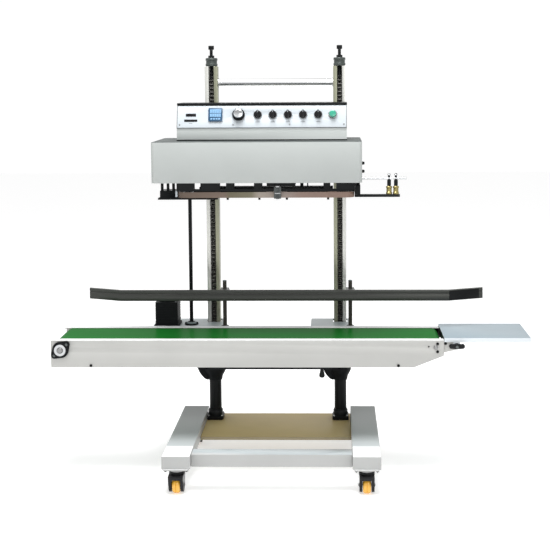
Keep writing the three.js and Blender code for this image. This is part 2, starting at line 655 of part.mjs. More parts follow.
/** Base plate of the head with two carriages whose tongues run in the column slots. */
function headPlate() {
  const inset = HEAD_WALL + 1;
  const plate = extrudeZ(roundedRectangle(HEAD_LEFT + inset, HEAD_RIGHT - inset, HEAD_FRONT + inset,
    HEAD_REAR - inset, HEAD_CORNER - HEAD_WALL), PLATE_BOTTOM, PLATE_TOP, 5);
  const adds = [plate];
  for (const x of [-COLUMN_X, COLUMN_X]) {
    const wide = CARRIAGE_HALF_WIDTH;
    adds.push(block(x - wide, x + wide, HEAD_REAR - 8, -30, PLATE_BOTTOM, PLATE_TOP));
    adds.push(block(x - wide, x + wide, HEAD_REAR + 1, -CHANNEL_DEPTH / 2 - 1, PLATE_BOTTOM, CARRIAGE_TOP));
    adds.push(block(x - 7, x + 7, -CHANNEL_DEPTH / 2 - 2, -14.5, PLATE_BOTTOM + 4, CARRIAGE_TOP - 4));
    adds.push(block(x - 13, x + 13, -16.3, -14.5, PLATE_BOTTOM + 4, CARRIAGE_TOP - 4));
  }
  const exitTop = BAND_BOTTOM - 1.5;
  adds.push(block(HEAD_LEFT + 8, -166, -262, -170, exitTop - 5, exitTop));
  adds.push(block(HEAD_LEFT + 14, -296, -258, -190, exitTop - 1, exitTop + 22));
  for (const x of [-338, -320, -303]) {
    adds.push(cylinderZ(x, -250, exitTop + 21, PLATE_BOTTOM + 1, 4.5));
  }
  for (const [left, right, bottom] of HANGERS) {
    adds.push(block(left, right, HANGER_FRONT, HANGER_BACK, bottom, PLATE_BOTTOM + 1));
  }
  adds.push(block(HANGERS[0][0], 252, HANGER_FRONT + 5, HANGER_BACK, HANGER_BAR_BOTTOM, HANGER_BAR_TOP));
  const [below, above] = [PLATE_BOTTOM - 10, PLATE_TOP + 10];
  const cuts = [cylinderZ(SHAFT_X, SHAFT_Y, below, above, SHAFT_RADIUS + 2)];
  for (const x of BAND_WHEEL_X) {
    for (const side of [-1, 1]) {
      cuts.push(cylinderZ(x, SEAL_Y + side * BAND_LOOP_OFFSET, below, above, WHEEL_AXLE + 0.5));
    }
  }
  return combine(adds, cuts);
}

function sealBand(side) {
  const y = SEAL_Y + side * BAND_LOOP_OFFSET;
  const [left, right] = BAND_WHEEL_X;
  const outer = beltOutline(left, y, BAND_WHEEL_RADIUS + BAND_THICKNESS, right, y,
    BAND_WHEEL_RADIUS + BAND_THICKNESS);
  outer.holes.push(beltOutline(left, y, BAND_WHEEL_RADIUS + GAP, right, y, BAND_WHEEL_RADIUS + GAP));
  return extrudeZ(outer, BAND_BOTTOM, BAND_TOP, 8);
}

function bandWheel(x, side) {
  const y = SEAL_Y + side * BAND_LOOP_OFFSET;
  return combine([
    cylinderZ(x, y, BAND_BOTTOM + 0.5, BAND_TOP - 0.5, BAND_WHEEL_RADIUS),
    cylinderZ(x, y, BAND_BOTTOM + 0.5, PLATE_TOP + 8, WHEEL_AXLE),
  ]);
}

/** Jaw inside one band loop: a heating block and a cooling block on a carrier with hanger studs. */
function sealJaw(side) {
  const face = SEAL_Y + side * (BAND_THICKNESS + GAP * 1.5);
  const back = face + side * JAW_DEPTH;
  const ySpan = [Math.min(face, back), Math.max(face, back)];
  const middle = (face + back) / 2;
  const pieces = [
    block(45, 170, ...ySpan, BAND_BOTTOM - 3, BAND_TOP + 4),
    block(-158, -20, ...ySpan, BAND_BOTTOM - 3, BAND_TOP + 4),
    block(-225, 186, middle - 8, middle + 8, BAND_TOP + 3, BAND_TOP + 13),
  ];
  for (const x of [-190, -128, -43, 90, 167]) {
    pieces.push(cylinderZ(x, middle, BAND_TOP + 12, PLATE_BOTTOM - GAP, 5));
  }
  return combine(pieces);
}

/** Knurled roller that presses on the front band's outer strand. */
function pressRoller() {
  const y = SEAL_Y - 2 * BAND_LOOP_OFFSET - PRESS_RADIUS - 0.4;
  return combine([
    cylinderZ(PRESS_X, y, BAND_BOTTOM - 1, BAND_TOP + 16, PRESS_RADIUS),
    cylinderZ(PRESS_X, y, BAND_BOTTOM - 4, PLATE_BOTTOM - GAP, 4),
  ]);
}

/** End block, slide bar, upper rod and the two roller pins that lead the bag mouth in. */
function infeedGuide() {
  const barBottom = BAND_BOTTOM - 2;
  const pieces = [
    block(252.5, 269, -280, -182, BAND_BOTTOM + 9, PLATE_BOTTOM - GAP - 14),
    block(258, 268, -250, -190, BAND_BOTTOM + 20, PLATE_BOTTOM - GAP),
    block(252.5, 391, GUIDE_LINE_Y - 9, GUIDE_LINE_Y + 9, barBottom, barBottom + 8),
    block(252.5, 266, GUIDE_LINE_Y - 9, GUIDE_LINE_Y + 9, barBottom, BAND_BOTTOM + 10),
    cylinderX(HEAD_RIGHT + GAP + 0.2, 411, GUIDE_LINE_Y, BAND_BOTTOM + 55, 3.5),
  ];
  for (const x of PIN_X) {
    pieces.push(cylinderZ(x, GUIDE_LINE_Y, barBottom + 2, BAND_BOTTOM + 70, 3.5));
    pieces.push(cylinderZ(x, GUIDE_LINE_Y, BAND_BOTTOM + 32, BAND_BOTTOM + 50, 6));
  }
  return combine(pieces);
}

function infeedRoller(x) {
  const bottom = BAND_BOTTOM + 6;
  return combine([cylinderZ(x, GUIDE_LINE_Y, bottom, bottom + 25, INFEED_ROLLER_RADIUS)],
    [cylinderZ(x, GUIDE_LINE_Y, bottom - 5, bottom + 30, 4)]);
}

function buildHead() {
  addPiece("head_cover", headCover(), PAINT_GREY);
  addPiece("head_plate", headPlate(), BLACK);
  for (const [name, side] of [["front", -1], ["rear", 1]]) {
    addPiece(`seal_band_${name}`, sealBand(side), { color: 0x8a6f5e, roughness: 0.5, metalness: 0 });
    addPiece(`seal_jaw_${name}`, sealJaw(side), { color: 0x9c8f6a, roughness: 0.4, metalness: 0.6 });
    addPiece(`band_wheel_${name}_left`, bandWheel(BAND_WHEEL_X[0], side), STEEL);
    addPiece(`band_wheel_${name}_right`, bandWheel(BAND_WHEEL_X[1], side), STEEL);
  }
  addPiece("press_roller", pressRoller(), STEEL);
  addPiece("infeed_guide", infeedGuide(), BLACK);
  addPiece("infeed_roller_left", infeedRoller(PIN_X[0]), { color: 0x8f8350, roughness: 0.4, metalness: 0.7 });
  addPiece("infeed_roller_right", infeedRoller(PIN_X[1]), { color: 0x8f8350, roughness: 0.4, metalness: 0.7 });
}

// ---------------------------------------------------------------- control box

/** Side profile of the box, drawn in Y, Z and drawn inwards by an inset. */
function boxProfile(inset) {
  const slopeTopY = BOX_FRONT + PANEL_LENGTH * Math.sin(PANEL_LEAN);
  const slopeTopZ = PANEL_FOOT_Z + PANEL_LENGTH * Math.cos(PANEL_LEAN);
  return shapeFrom([
    [BOX_FRONT + inset, BOX_BOTTOM - (inset > 0 ? 5 : 0)],
    [BOX_FRONT + inset, PANEL_FOOT_Z],
    [slopeTopY + inset, slopeTopZ],
    [slopeTopY + inset, BOX_TOP - inset],
    [BOX_REAR - inset, BOX_TOP - inset],
    [BOX_REAR - inset, BOX_BOTTOM - (inset > 0 ? 5 : 0)],
  ].reverse());
}

function controlBox() {
  const shell = extrudeX(boxProfile(0), BOX_LEFT, BOX_RIGHT);
  const hollow = extrudeX(boxProfile(BOX_SHEET), BOX_LEFT + BOX_SHEET, BOX_RIGHT - BOX_SHEET);
  const windowWidth = BOX_RIGHT - BOX_LEFT - 40;
  const window = new THREE.BoxGeometry(windowWidth, 20, PANEL_LENGTH - 16);
  window.rotateX(-PANEL_LEAN);
  window.translate((BOX_LEFT + BOX_RIGHT) / 2,
    BOX_FRONT + (PANEL_LENGTH / 2) * Math.sin(PANEL_LEAN),
    PANEL_FOOT_Z + (PANEL_LENGTH / 2) * Math.cos(PANEL_LEAN));
  const inletHole = block(178, 210, BOX_REAR - 8, BOX_REAR + 5, INLET_Z - 12, INLET_Z + 12);
  return combine([shell], [hollow, window, inletHole]);
}

/** Group at the panel's foot: local x along the machine, y up the slope, z out of the panel. */
function panelGroup() {
  const group = new THREE.Group();
  group.rotation.x = Math.PI / 2 - PANEL_LEAN;
  group.position.set(0, BOX_FRONT - GAP * Math.cos(PANEL_LEAN), PANEL_FOOT_Z + GAP * Math.sin(PANEL_LEAN));
  machine.add(group);
  return group;
}

function controlPanel() {
  const plate = extrudeZ(roundedRectangle(BOX_LEFT + 1, BOX_RIGHT - 1, 1, PANEL_LENGTH - 1, 4), 0,
    PANEL_THICKNESS, 4);
  const necks = [...SELECTOR_X, BUTTON_X, KNOB_X].map((x) =>
    cylinderZ(x, CONTROL_ROW, -5, PANEL_THICKNESS + 5, 6.5));
  const displayHole = block(DISPLAY_X - 18, DISPLAY_X + 18, CONTROL_ROW - 18, CONTROL_ROW + 18, -5, 8);
  return combine([plate], [...necks, displayHole]);
}

function displayUnit() {
  return combine([
    block(DISPLAY_X - 21.5, DISPLAY_X + 21.5, CONTROL_ROW - 21, CONTROL_ROW + 21, PANEL_THICKNESS + GAP,
      PANEL_THICKNESS + 6),
    block(DISPLAY_X - 17.5, DISPLAY_X + 17.5, CONTROL_ROW - 17.5, CONTROL_ROW + 17.5, -30, PANEL_THICKNESS + 1),
  ]);
}

function speedKnob() {
  const base = PANEL_THICKNESS + 0.5;
  const knob = latheZ([[0, base], [20, base], [19, base + 5], [15, base + 9], [14, base + 18],
    [12, base + 20], [0, base + 20]]);
  knob.translate(KNOB_X, CONTROL_ROW, 0);
  return combine([knob, cylinderZ(KNOB_X, CONTROL_ROW, -14, base + 1, 5)]);
}

function selectorSwitch(x) {
  const base = PANEL_THICKNESS + 0.5;
  const skirt = latheZ([[0, base], [12, base], [12, base + 3], [10, base + 6], [0, base + 6]], 16);
  skirt.translate(x, CONTROL_ROW, 0);
  const grip = extrudeZ(roundedRectangle(x - 3.2, x + 3.2, CONTROL_ROW - 10, CONTROL_ROW + 10, 3), base + 5,
    base + 17, 4);
  return combine([skirt, grip, cylinderZ(x, CONTROL_ROW, -14, base + 1, 5)]);
}

function startButton() {
  const base = PANEL_THICKNESS + 5;
  const cap = latheZ([[0, base], [11, base], [11, base + 6], [9.5, base + 7.5], [0, base + 7.5]], 16);
  cap.translate(BUTTON_X, CONTROL_ROW, 0);
  return combine([cap, cylinderZ(BUTTON_X, CONTROL_ROW, -14, base + 1, 5)]);
}

/** Three-pin power inlet in the box's back wall. */
function powerInlet() {
  return combine([
    block(180, 208, BOX_REAR - 6, BOX_REAR + 1, INLET_Z - 10, INLET_Z + 10),
    block(175, 213, BOX_REAR + GAP, BOX_REAR + 4, INLET_Z - 15, INLET_Z + 15),
  ], [block(184, 204, BOX_REAR - 2, BOX_REAR + 6, INLET_Z - 7, INLET_Z + 7)]);
}

function buildControls() {
  addPiece("control_box", controlBox(), PAINT_GREY);
  addPiece("power_inlet", powerInlet(), BLACK);
  const panel = panelGroup();
  addPiece("control_panel", controlPanel(), { color: 0xeef3f6, roughness: 0.35, metalness: 0 }, panel);
  addPiece("display_unit", displayUnit(), { color: 0x2c4c66, roughness: 0.3, metalness: 0 }, panel);
  addPiece("speed_knob", speedKnob(), { color: 0x202224, roughness: 0.3, metalness: 0.3 }, panel);
  SELECTOR_X.forEach((x, index) => addPiece(`selector_switch_${index + 1}`, selectorSwitch(x), BLACK, panel));
  addPiece("start_button", startButton(), { color: 0x3fae86, roughness: 0.3, metalness: 0 }, panel);
}

buildBase();
buildCastors();
buildConveyor();
buildHead();
buildControls();

// Put the centre of the machine's box over the origin, with the wheels on the floor.
machine.updateMatrixWorld(true);
const box = new THREE.Box3().setFromObject(machine);
machine.position.set(-(box.min.x + box.max.x) / 2, -(box.min.y + box.max.y) / 2, -box.min.z);

export default machine;
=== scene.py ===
"""Looks of the continuous band sealer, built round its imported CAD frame. +Z up, operator at -Y.

Pieces are drawn in millimetres and scaled to metres when they are made. The studio and camera are in metres.
"""

import json
import math

import bmesh
import bpy
from mathutils import Matrix, Vector


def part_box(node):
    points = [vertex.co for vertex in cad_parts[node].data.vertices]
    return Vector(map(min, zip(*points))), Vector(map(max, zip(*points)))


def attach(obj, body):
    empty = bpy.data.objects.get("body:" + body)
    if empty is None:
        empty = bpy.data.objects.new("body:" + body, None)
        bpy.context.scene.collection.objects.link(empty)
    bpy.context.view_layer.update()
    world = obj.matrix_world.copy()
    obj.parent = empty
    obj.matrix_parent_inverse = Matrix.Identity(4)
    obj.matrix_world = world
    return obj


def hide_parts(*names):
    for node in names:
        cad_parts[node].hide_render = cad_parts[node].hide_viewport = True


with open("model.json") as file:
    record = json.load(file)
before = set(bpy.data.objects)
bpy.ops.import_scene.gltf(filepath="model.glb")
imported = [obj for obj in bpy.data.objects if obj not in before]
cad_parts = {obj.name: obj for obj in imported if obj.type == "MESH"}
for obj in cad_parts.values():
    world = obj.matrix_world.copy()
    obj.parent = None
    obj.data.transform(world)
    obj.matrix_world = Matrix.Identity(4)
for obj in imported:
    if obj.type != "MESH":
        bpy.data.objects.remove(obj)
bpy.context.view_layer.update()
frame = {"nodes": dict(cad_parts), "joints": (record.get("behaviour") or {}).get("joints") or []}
NODES = frame["nodes"]
JOINTS = {joint["name"]: joint for joint in frame["joints"]}

MM = 0.001
X_AXIS = Vector((1, 0, 0))
Y_AXIS = Vector((0, 1, 0))
Z_AXIS = Vector((0, 0, 1))
CORNERS = ("front_left", "front_right", "rear_left", "rear_right")

# Planes of an outline and the way it is extruded: Y and Z along X, X and Z along Y, X and Z along -Y
ALONG_X = Matrix(((0, 0, 1, 0), (1, 0, 0, 0), (0, 1, 0, 0), (0, 0, 0, 1)))
ALONG_Y = Matrix(((1, 0, 0, 0), (0, 0, 1, 0), (0, 1, 0, 0), (0, 0, 0, 1)))
TOWARDS_FRONT = Matrix(((1, 0, 0, 0), (0, 0, -1, 0), (0, 1, 0, 0), (0, 0, 0, 1)))

# Roller chain of the columns, in millimetres
CHAIN_PITCH = 12.7
CHAIN_ROLLER = 4.25
CHAIN_PLATE = 1.4
THREAD_PITCH = 1.75

# Face of the control panel in millimetres, measured from its back along its outward normal
PANEL_FACE = 2.5


def box(node):
    """Corners of a CAD node, in millimetres."""
    low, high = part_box(node)
    return low / MM, high / MM


def middle(node):
    """Centre of a CAD node, in millimetres."""
    low, high = box(node)
    return (low + high) / 2


def pivot_of(joint):
    """Place of a joint, in millimetres."""
    return Vector(JOINTS[joint]["pos_m"]) / MM


# ------------------------------------------------------------------ materials


def shader(name):
    """A new material, its node tree and its Principled shader."""
    material = bpy.data.materials.new(name)
    material.use_nodes = True
    tree = material.node_tree
    return material, tree, tree.nodes["Principled BSDF"]


def noise(tree, scale, detail=4.0, stretch=(1, 1, 1)):
    """Noise in the object's own coordinates, stretched along an axis for brushed or drawn metal."""
    place = tree.nodes.new("ShaderNodeTexCoord")
    mapping = tree.nodes.new("ShaderNodeMapping")
    mapping.inputs["Scale"].default_value = stretch
    texture = tree.nodes.new("ShaderNodeTexNoise")
    texture.inputs["Scale"].default_value = scale
    texture.inputs["Detail"].default_value = detail
    tree.links.new(place.outputs["Object"], mapping.inputs["Vector"])
    tree.links.new(mapping.outputs["Vector"], texture.inputs["Vector"])
    return texture.outputs["Fac"]


def ramp(tree, factor, stops, interpolation="LINEAR"):
    """A colour ramp over a factor, from (position, grey or colour) stops."""
    node = tree.nodes.new("ShaderNodeValToRGB")
    node.color_ramp.interpolation = interpolation
    elements = node.color_ramp.elements
    while len(elements) < len(stops):
        elements.new(0.5)
    for element, (position, value) in zip(elements, stops):
        colour = (value,) * 3 if isinstance(value, float) else value
        element.position = position
        element.color = (*colour, 1)
    tree.links.new(factor, node.inputs["Fac"])
    return node.outputs["Color"]


def add_bump(tree, bsdf, height, strength, distance):
    """Bump from a height output into the shader's normal."""
    bump = tree.nodes.new("ShaderNodeBump")
    bump.inputs["Strength"].default_value = strength
    bump.inputs["Distance"].default_value = distance
    tree.links.new(height, bump.inputs["Height"])
    tree.links.new(bump.outputs["Normal"], bsdf.inputs["Normal"])


def shade(colour, factor):
    """A colour made lighter or darker, kept within range."""
    return tuple(min(1.0, channel * factor) for channel in colour)


def along(tree, axis, low, high):
    """How far a point is from low to high (millimetres) along one of the object's own axes, 0 to 1."""
    place = tree.nodes.new("ShaderNodeTexCoord")
    split = tree.nodes.new("ShaderNodeSeparateXYZ")
    span = tree.nodes.new("ShaderNodeMapRange")
    span.inputs["From Min"].default_value = low * MM
    span.inputs["From Max"].default_value = high * MM
    tree.links.new(place.outputs["Object"], split.inputs["Vector"])
    tree.links.new(split.outputs[axis], span.inputs["Value"])
    return span.outputs["Result"]


def paint_light_by_facing(tree, bsdf, side, top, turn):
    """Base colour of one tone on the sides and another on upward faces, from one to the other over turn. The
    upward tone is painted light: it stands for how light falls on the tops.
    """
    geometry = tree.nodes.new("ShaderNodeNewGeometry")
    split = tree.nodes.new("ShaderNodeSeparateXYZ")
    mix = tree.nodes.new("ShaderNodeMix")
    mix.data_type = "RGBA"
    tree.links.new(geometry.outputs["Normal"], split.inputs["Vector"])
    tree.links.new(ramp(tree, split.outputs["Z"], [(turn[0], 0.0), (turn[1], 1.0)]), mix.inputs["Factor"])
    tree.links.new(side, mix.inputs["A"])
    tree.links.new(top, mix.inputs["B"])
    tree.links.new(mix.outputs["Result"], bsdf.inputs["Base Color"])


def set_surface(tree, bsdf, grain, gloss, bump=0.08, metallic=0.0, specular=0.5):
    """Roughness and bump from one fine grain, and the shader's constants."""
    tree.links.new(ramp(tree, grain, gloss), bsdf.inputs["Roughness"])
    bsdf.inputs["Metallic"].default_value = metallic
    bsdf.inputs["Specular IOR Level"].default_value = specular
    add_bump(tree, bsdf, grain, bump, 0.0004)


def finish(name, colour, roughness, metallic=0.0, patches=0.05, patch_scale=9.0, grain=900.0, bump=0.08,
           stretch=(1, 1, 1), coat=0.0, specular=0.5):
    """A finish with faint patches of tone, varied gloss and a fine grain."""
    material, tree, bsdf = shader(name)
    tone = ramp(tree, noise(tree, patch_scale), [
        (0.3, shade(colour, 1 - patches)), (0.7, shade(colour, 1 + patches))])
    tree.links.new(tone, bsdf.inputs["Base Color"])
    gloss = [(0.25, roughness * 0.85), (0.75, min(1.0, roughness * 1.15))]
    set_surface(tree, bsdf, noise(tree, grain, 3.0, stretch), gloss, bump, metallic, specular)
    bsdf.inputs["Coat Weight"].default_value = coat
    bsdf.inputs["Coat Roughness"].default_value = 0.15
    return material


def facing_painted_light(name, side_colour, top_colour_painted_light, roughness, metallic=0.0, specular=0.5):
    """A finish whose upward faces have a tone of their own, which is painted light: lighter tops are a
    painted highlight, darker tops are painted shade.
    """
    material, tree, bsdf = shader(name)
    side = ramp(tree, noise(tree, 7.0), [(0.3, shade(side_colour, 0.97)), (0.7, shade(side_colour, 1.03))])
    # Upward faces: painted light in their own tone, a painted highlight where lighter and painted shade
    # where darker.
    top = ramp(tree, noise(tree, 7.0), [(0.3, shade(top_colour_painted_light, 0.94)), (0.7, shade(top_colour_painted_light, 1.06))])
    paint_light_by_facing(tree, bsdf, side, top, (0.75, 0.95))
    gloss = [(0.2, roughness * 0.9), (0.8, roughness * 1.1)]
    set_surface(tree, bsdf, noise(tree, 700.0), gloss, metallic=metallic, specular=specular)
    return material


def rail_enamel_painted_light():
    """Light enamel of the base. Its upward faces carry painted light: a near-white painted highlight at the
    front and painted shade, darker towards the back where the conveyor's shadow falls.
    """
    material, tree, bsdf = shader("enamel_light")
    low, high = box("rail_left")
    # Painted light on the rail tops: painted highlight at the front, painted shade darkening towards the
    # back under the conveyor.
    top = ramp(tree, along(tree, "Y", low.y, high.y), [
        (0.0, (0.84, 0.85, 0.85)), (0.18, (0.84, 0.85, 0.85)), (0.2, (0.48, 0.51, 0.52)),
        (0.35, (0.40, 0.43, 0.43)), (0.6, (0.32, 0.345, 0.34)), (1.0, (0.135, 0.155, 0.145))])
    side = ramp(tree, noise(tree, 7.0), [(0.3, (0.355, 0.36, 0.355)), (0.7, (0.38, 0.385, 0.38))])
    paint_light_by_facing(tree, bsdf, side, top, (0.6, 0.9))
    set_surface(tree, bsdf, noise(tree, 700.0), [(0.2, 0.3), (0.8, 0.38)], bump=0.06, specular=0.3)
    return material


def column_metal_painted_reflection():
    """Drawn aluminium of the columns, with a painted olive reflection on the sides that face each other."""
    material, tree, bsdf = shader("column_aluminium")
    half_width = 20
    left = middle("column_channel_left").x - half_width
    right = middle("column_channel_right").x + half_width
    step = half_width / (right - left)
    light = (0.58, 0.58, 0.55)
    olive = (0.27, 0.275, 0.20)
    # Painted reflection: the inner sides of both columns turn olive.
    tone = ramp(tree, along(tree, "X", left, right), [
        (0.0, light), (step * 0.6, light), (step * 1.4, olive), (0.5, olive), (1 - step * 1.4, olive),
        (1 - step * 0.6, light), (1.0, light)])
    tree.links.new(tone, bsdf.inputs["Base Color"])
    drawn = noise(tree, 420.0, 3.0, (3, 3, 0.1))
    set_surface(tree, bsdf, drawn, [(0.25, 0.3), (0.75, 0.4)], bump=0.06, metallic=0.6)
    return material


def bracket_painted_shade():
    """Paint of the tray bracket: light on the arm at the front, and black on the one at the back as painted
    shade in the gap behind the belt's end.
    """
    material, tree, bsdf = shader("bracket_paint_and_painted_shade")
    low, high = box("tray_bracket")
    # Painted shade: the rear arm is black where shade falls in the gap behind the belt's end.
    tone = ramp(tree, along(tree, "Y", low.y, high.y), [
        (0.1, (0.41, 0.41, 0.395)), (0.12, (0.012, 0.013, 0.013))])
    tree.links.new(tone, bsdf.inputs["Base Color"])
    set_surface(tree, bsdf, noise(tree, 700.0), [(0.2, 0.36), (0.8, 0.44)], specular=0.2)
    return material


def belt_finish():
    """Green PVC belt with a fine fabric grain and faint wear along its length."""
    material, tree, bsdf = shader("belt_pvc")
    wear = noise(tree, 5.0, 5.0, (0.4, 6, 1))
    colour = ramp(tree, wear, [(0.3, (0.006, 0.105, 0.012)), (0.7, (0.012, 0.14, 0.022))])
    tree.links.new(colour, bsdf.inputs["Base Color"])
    tree.links.new(ramp(tree, wear, [(0.2, 0.26), (0.8, 0.4)]), bsdf.inputs["Roughness"])
    bsdf.inputs["Specular IOR Level"].default_value = 0.006
    add_bump(tree, bsdf, noise(tree, 1400.0, 2.0, (1, 1, 1)), 0.12, 0.0003)
    return material


def band_finish(left, right):
    """Coated seal band, stained in zones along its length by the heated and cooled stretches."""
    material, tree, bsdf = shader("band_coating")
    zones = ramp(tree, along(tree, "X", left, right), [
        (0.0, (0.10, 0.068, 0.048)), (0.27, (0.15, 0.105, 0.078)), (0.30, (0.12, 0.105, 0.06)),
        (0.42, (0.15, 0.135, 0.085)), (0.46, (0.30, 0.26, 0.22)), (0.62, (0.25, 0.20, 0.175)),
        (0.70, (0.22, 0.15, 0.12)), (1.0, (0.19, 0.12, 0.09))])
    tree.links.new(zones, bsdf.inputs["Base Color"])
    fine = noise(tree, 260.0, 4.0, (0.2, 1, 3))
    tree.links.new(ramp(tree, fine, [(0.2, 0.35), (0.8, 0.55)]), bsdf.inputs["Roughness"])
    add_bump(tree, bsdf, fine, 0.1, 0.0003)
    return material


# Rail tops: painted highlight at the front and painted shade towards the back.
RAIL_ENAMEL_PAINTED_LIGHT = rail_enamel_painted_light()
# Painted light on upward faces: the lighter tops of the cross bar, side plates, deck and board are a painted
# highlight; the darker tops of the head cover and tray are painted shade.
BAR_ENAMEL = facing_painted_light("bar_enamel", (0.37, 0.375, 0.37), (0.45, 0.49, 0.505), 0.34, specular=0.3)
CASING = facing_painted_light("casing_powder_coat", (0.355, 0.375, 0.367), (0.07, 0.08, 0.078), 0.5, specular=0.25)
SIDE_PAINT = facing_painted_light("conveyor_paint", (0.41, 0.41, 0.395), (0.78, 0.79, 0.79), 0.4, specular=0.3)
BOX_PAINT = finish("box_paint", (0.55, 0.58, 0.57), 0.42, patches=0.03, specular=0.35)
DECK_PAINT = facing_painted_light("deck_paint", (0.16, 0.20, 0.20), (0.50, 0.56, 0.57), 0.34, specular=0.3)
TRAY_PAINT = facing_painted_light("tray_paint", (0.60, 0.64, 0.67), (0.27, 0.33, 0.365), 0.34, specular=0.2)
BOARD = facing_painted_light("base_board", (0.26, 0.22, 0.14), (0.60, 0.465, 0.225), 0.5, specular=0.2)
BLACK_PAINT = finish("black_enamel", (0.007, 0.008, 0.0085), 0.3, patches=0.25, specular=0.1)
BLACK_CASTING = finish("black_casting", (0.010, 0.011, 0.012), 0.45, patches=0.3, grain=350.0, bump=0.3,
                       specular=0.05)
BLACK_PLASTIC = finish("black_plastic", (0.006, 0.006, 0.007), 0.3, patches=0.2, grain=600.0, specular=0.2)
# Columns: painted olive reflection on their inner sides.
COLUMN_METAL_PAINTED_REFLECTION = column_metal_painted_reflection()
# Guide rail: lighter top as a painted highlight.
GUIDE_METAL = facing_painted_light("guide_anodised", (0.046, 0.048, 0.044), (0.16, 0.165, 0.155), 0.36, 0.3, 0.2)
POST_METAL = finish("post_steel", (0.032, 0.030, 0.024), 0.4, 0.2, patches=0.15, specular=0.2)
STEEL = finish("steel_turned", (0.50, 0.51, 0.52), 0.26, 0.95, 0.06, 14.0, 700.0, 0.05)
ROLLER_STEEL = finish("roller_steel", (0.26, 0.26, 0.26), 0.34, 0.85, 0.06, 14.0, 700.0, 0.05)
DARK_STEEL = finish("steel_blackened", (0.10, 0.11, 0.11), 0.3, 0.7, 0.12, 14.0, 700.0, 0.05)
# Column seats: bright top as a painted highlight over dark sides.
SEAT_METAL = facing_painted_light("seat_metal", (0.06, 0.07, 0.066), (0.70, 0.72, 0.72), 0.35, 0.4, 0.3)
CHROME = finish("chrome_bar", (0.80, 0.81, 0.82), 0.1, 1.0, 0.03, 20.0, 900.0, 0.02, (0.1, 2, 2))
CHAIN_STEEL = finish("chain_oiled_steel", (0.035, 0.034, 0.031), 0.3, 0.8, 0.25, 60.0, 900.0)
BRASS = finish("brass_turned", (0.30, 0.25, 0.10), 0.28, 0.9, 0.12, 25.0, 800.0)
AMBER = finish("amber_urethane", (0.70, 0.37, 0.04), 0.24, patches=0.1, patch_scale=30.0, coat=0.3)
PANEL_WHITE = finish("panel_white", (0.48, 0.52, 0.55), 0.35, patches=0.015, specular=0.3)
PRINT_GREY = finish("print_grey", (0.10, 0.11, 0.12), 0.45, patches=0.1, specular=0.3)
METER_FRAME = finish("meter_frame", (0.028, 0.075, 0.14), 0.3, patches=0.1, specular=0.3)
METER_LCD = finish("meter_lcd", (0.21, 0.38, 0.58), 0.2, patches=0.05, coat=0.2, specular=0.3)
GREEN_LENS = finish("green_lens", (0.03, 0.28, 0.185), 0.18, patches=0.12, patch_scale=60.0, coat=0.4)
BELT = belt_finish()
# Tray bracket: black rear arm as painted shade.
BRACKET_PAINTED_SHADE = bracket_painted_shade()

# ------------------------------------------------------------------ mesh helpers


def frame_at(origin, direction):
    """A matrix whose Z axis is direction, placed at origin."""
    z = Vector(direction).normalized()
    hint = X_AXIS if abs(z.x) < 0.9 else Y_AXIS
    x = (hint - hint.dot(z) * z).normalized()
    matrix = Matrix((x, z.cross(x), z)).transposed().to_4x4()
    matrix.translation = Vector(origin)
    return matrix


def add_lathe(bm, profile, place, segments=40):
    """Turns (radius, height) points about the Z axis of a matrix. Points on the axis become poles."""
    rings = []
    for radius, height in profile:
        if radius < 1e-6:
            rings.append([bm.verts.new(place @ Vector((0, 0, height)))])
            continue
        ring = []
        for step in range(segments):
            angle = 2 * math.pi * step / segments
            point = Vector((radius * math.cos(angle), radius * math.sin(angle), height))
            ring.append(bm.verts.new(place @ point))
        rings.append(ring)
    for low, high in zip(rings, rings[1:]):
        for step in range(segments):
            after = (step + 1) % segments
            corners = (low[step % len(low)], low[after % len(low)],
                       high[after % len(high)], high[step % len(high)])
            face = list(dict.fromkeys(corners))
            if len(face) > 2:
                bm.faces.new(face)


def add_rod(bm, start, end, radius, segments=24, chamfer=0.0):
    """A round rod between two points with chamfered ends."""
    start = Vector(start)
    length = (Vector(end) - start).length
    cut = min(chamfer, radius * 0.5)
    profile = [(0, 0), (radius, 0), (radius, length), (0, length)]
    if cut:
        profile[1:3] = [(radius - cut, 0), (radius, cut), (radius, length - cut), (radius - cut, length)]
    add_lathe(bm, profile, frame_at(start, Vector(end) - start), segments)


def add_box(bm, low, high, bevel=0.0, place=None):
    """A box between two corners, with its edges rounded."""
    low, high = Vector(low), Vector(high)
    part = bmesh.new()
    bmesh.ops.create_cube(part, size=1)
    size = high - low
    for vertex in part.verts:
        vertex.co = vertex.co * size + (low + high) / 2
    if bevel:
        bmesh.ops.bevel(part, geom=part.edges[:], offset=bevel, segments=3, profile=0.5, affect="EDGES")
    copy_into(bm, part, place)


def add_prism(bm, outline, low, high, place=None, bevel=0.0):
    """Extrudes an (x, y) outline from low to high along the Z axis of a matrix."""
    part = bmesh.new()
    bottom = [part.verts.new((x, y, low)) for x, y in outline]
    top = [part.verts.new((x, y, high)) for x, y in outline]
    part.faces.new(bottom[::-1])
    part.faces.new(top)
    for index in range(len(outline)):
        after = (index + 1) % len(outline)
        part.faces.new((bottom[index], bottom[after], top[after], top[index]))
    if bevel:
        rims = [edge for edge in part.edges if abs(edge.verts[0].co.z - edge.verts[1].co.z) < 1e-9]
        bmesh.ops.bevel(part, geom=rims, offset=bevel, segments=2, profile=0.5, affect="EDGES")
    copy_into(bm, part, place)


def copy_into(bm, part, place=None):
    """Adds one bmesh to another through a matrix."""
    if place is not None:
        part.transform(place)
    mesh = bpy.data.meshes.new("part")
    part.to_mesh(mesh)
    part.free()
    bm.from_mesh(mesh)
    bpy.data.meshes.remove(mesh)


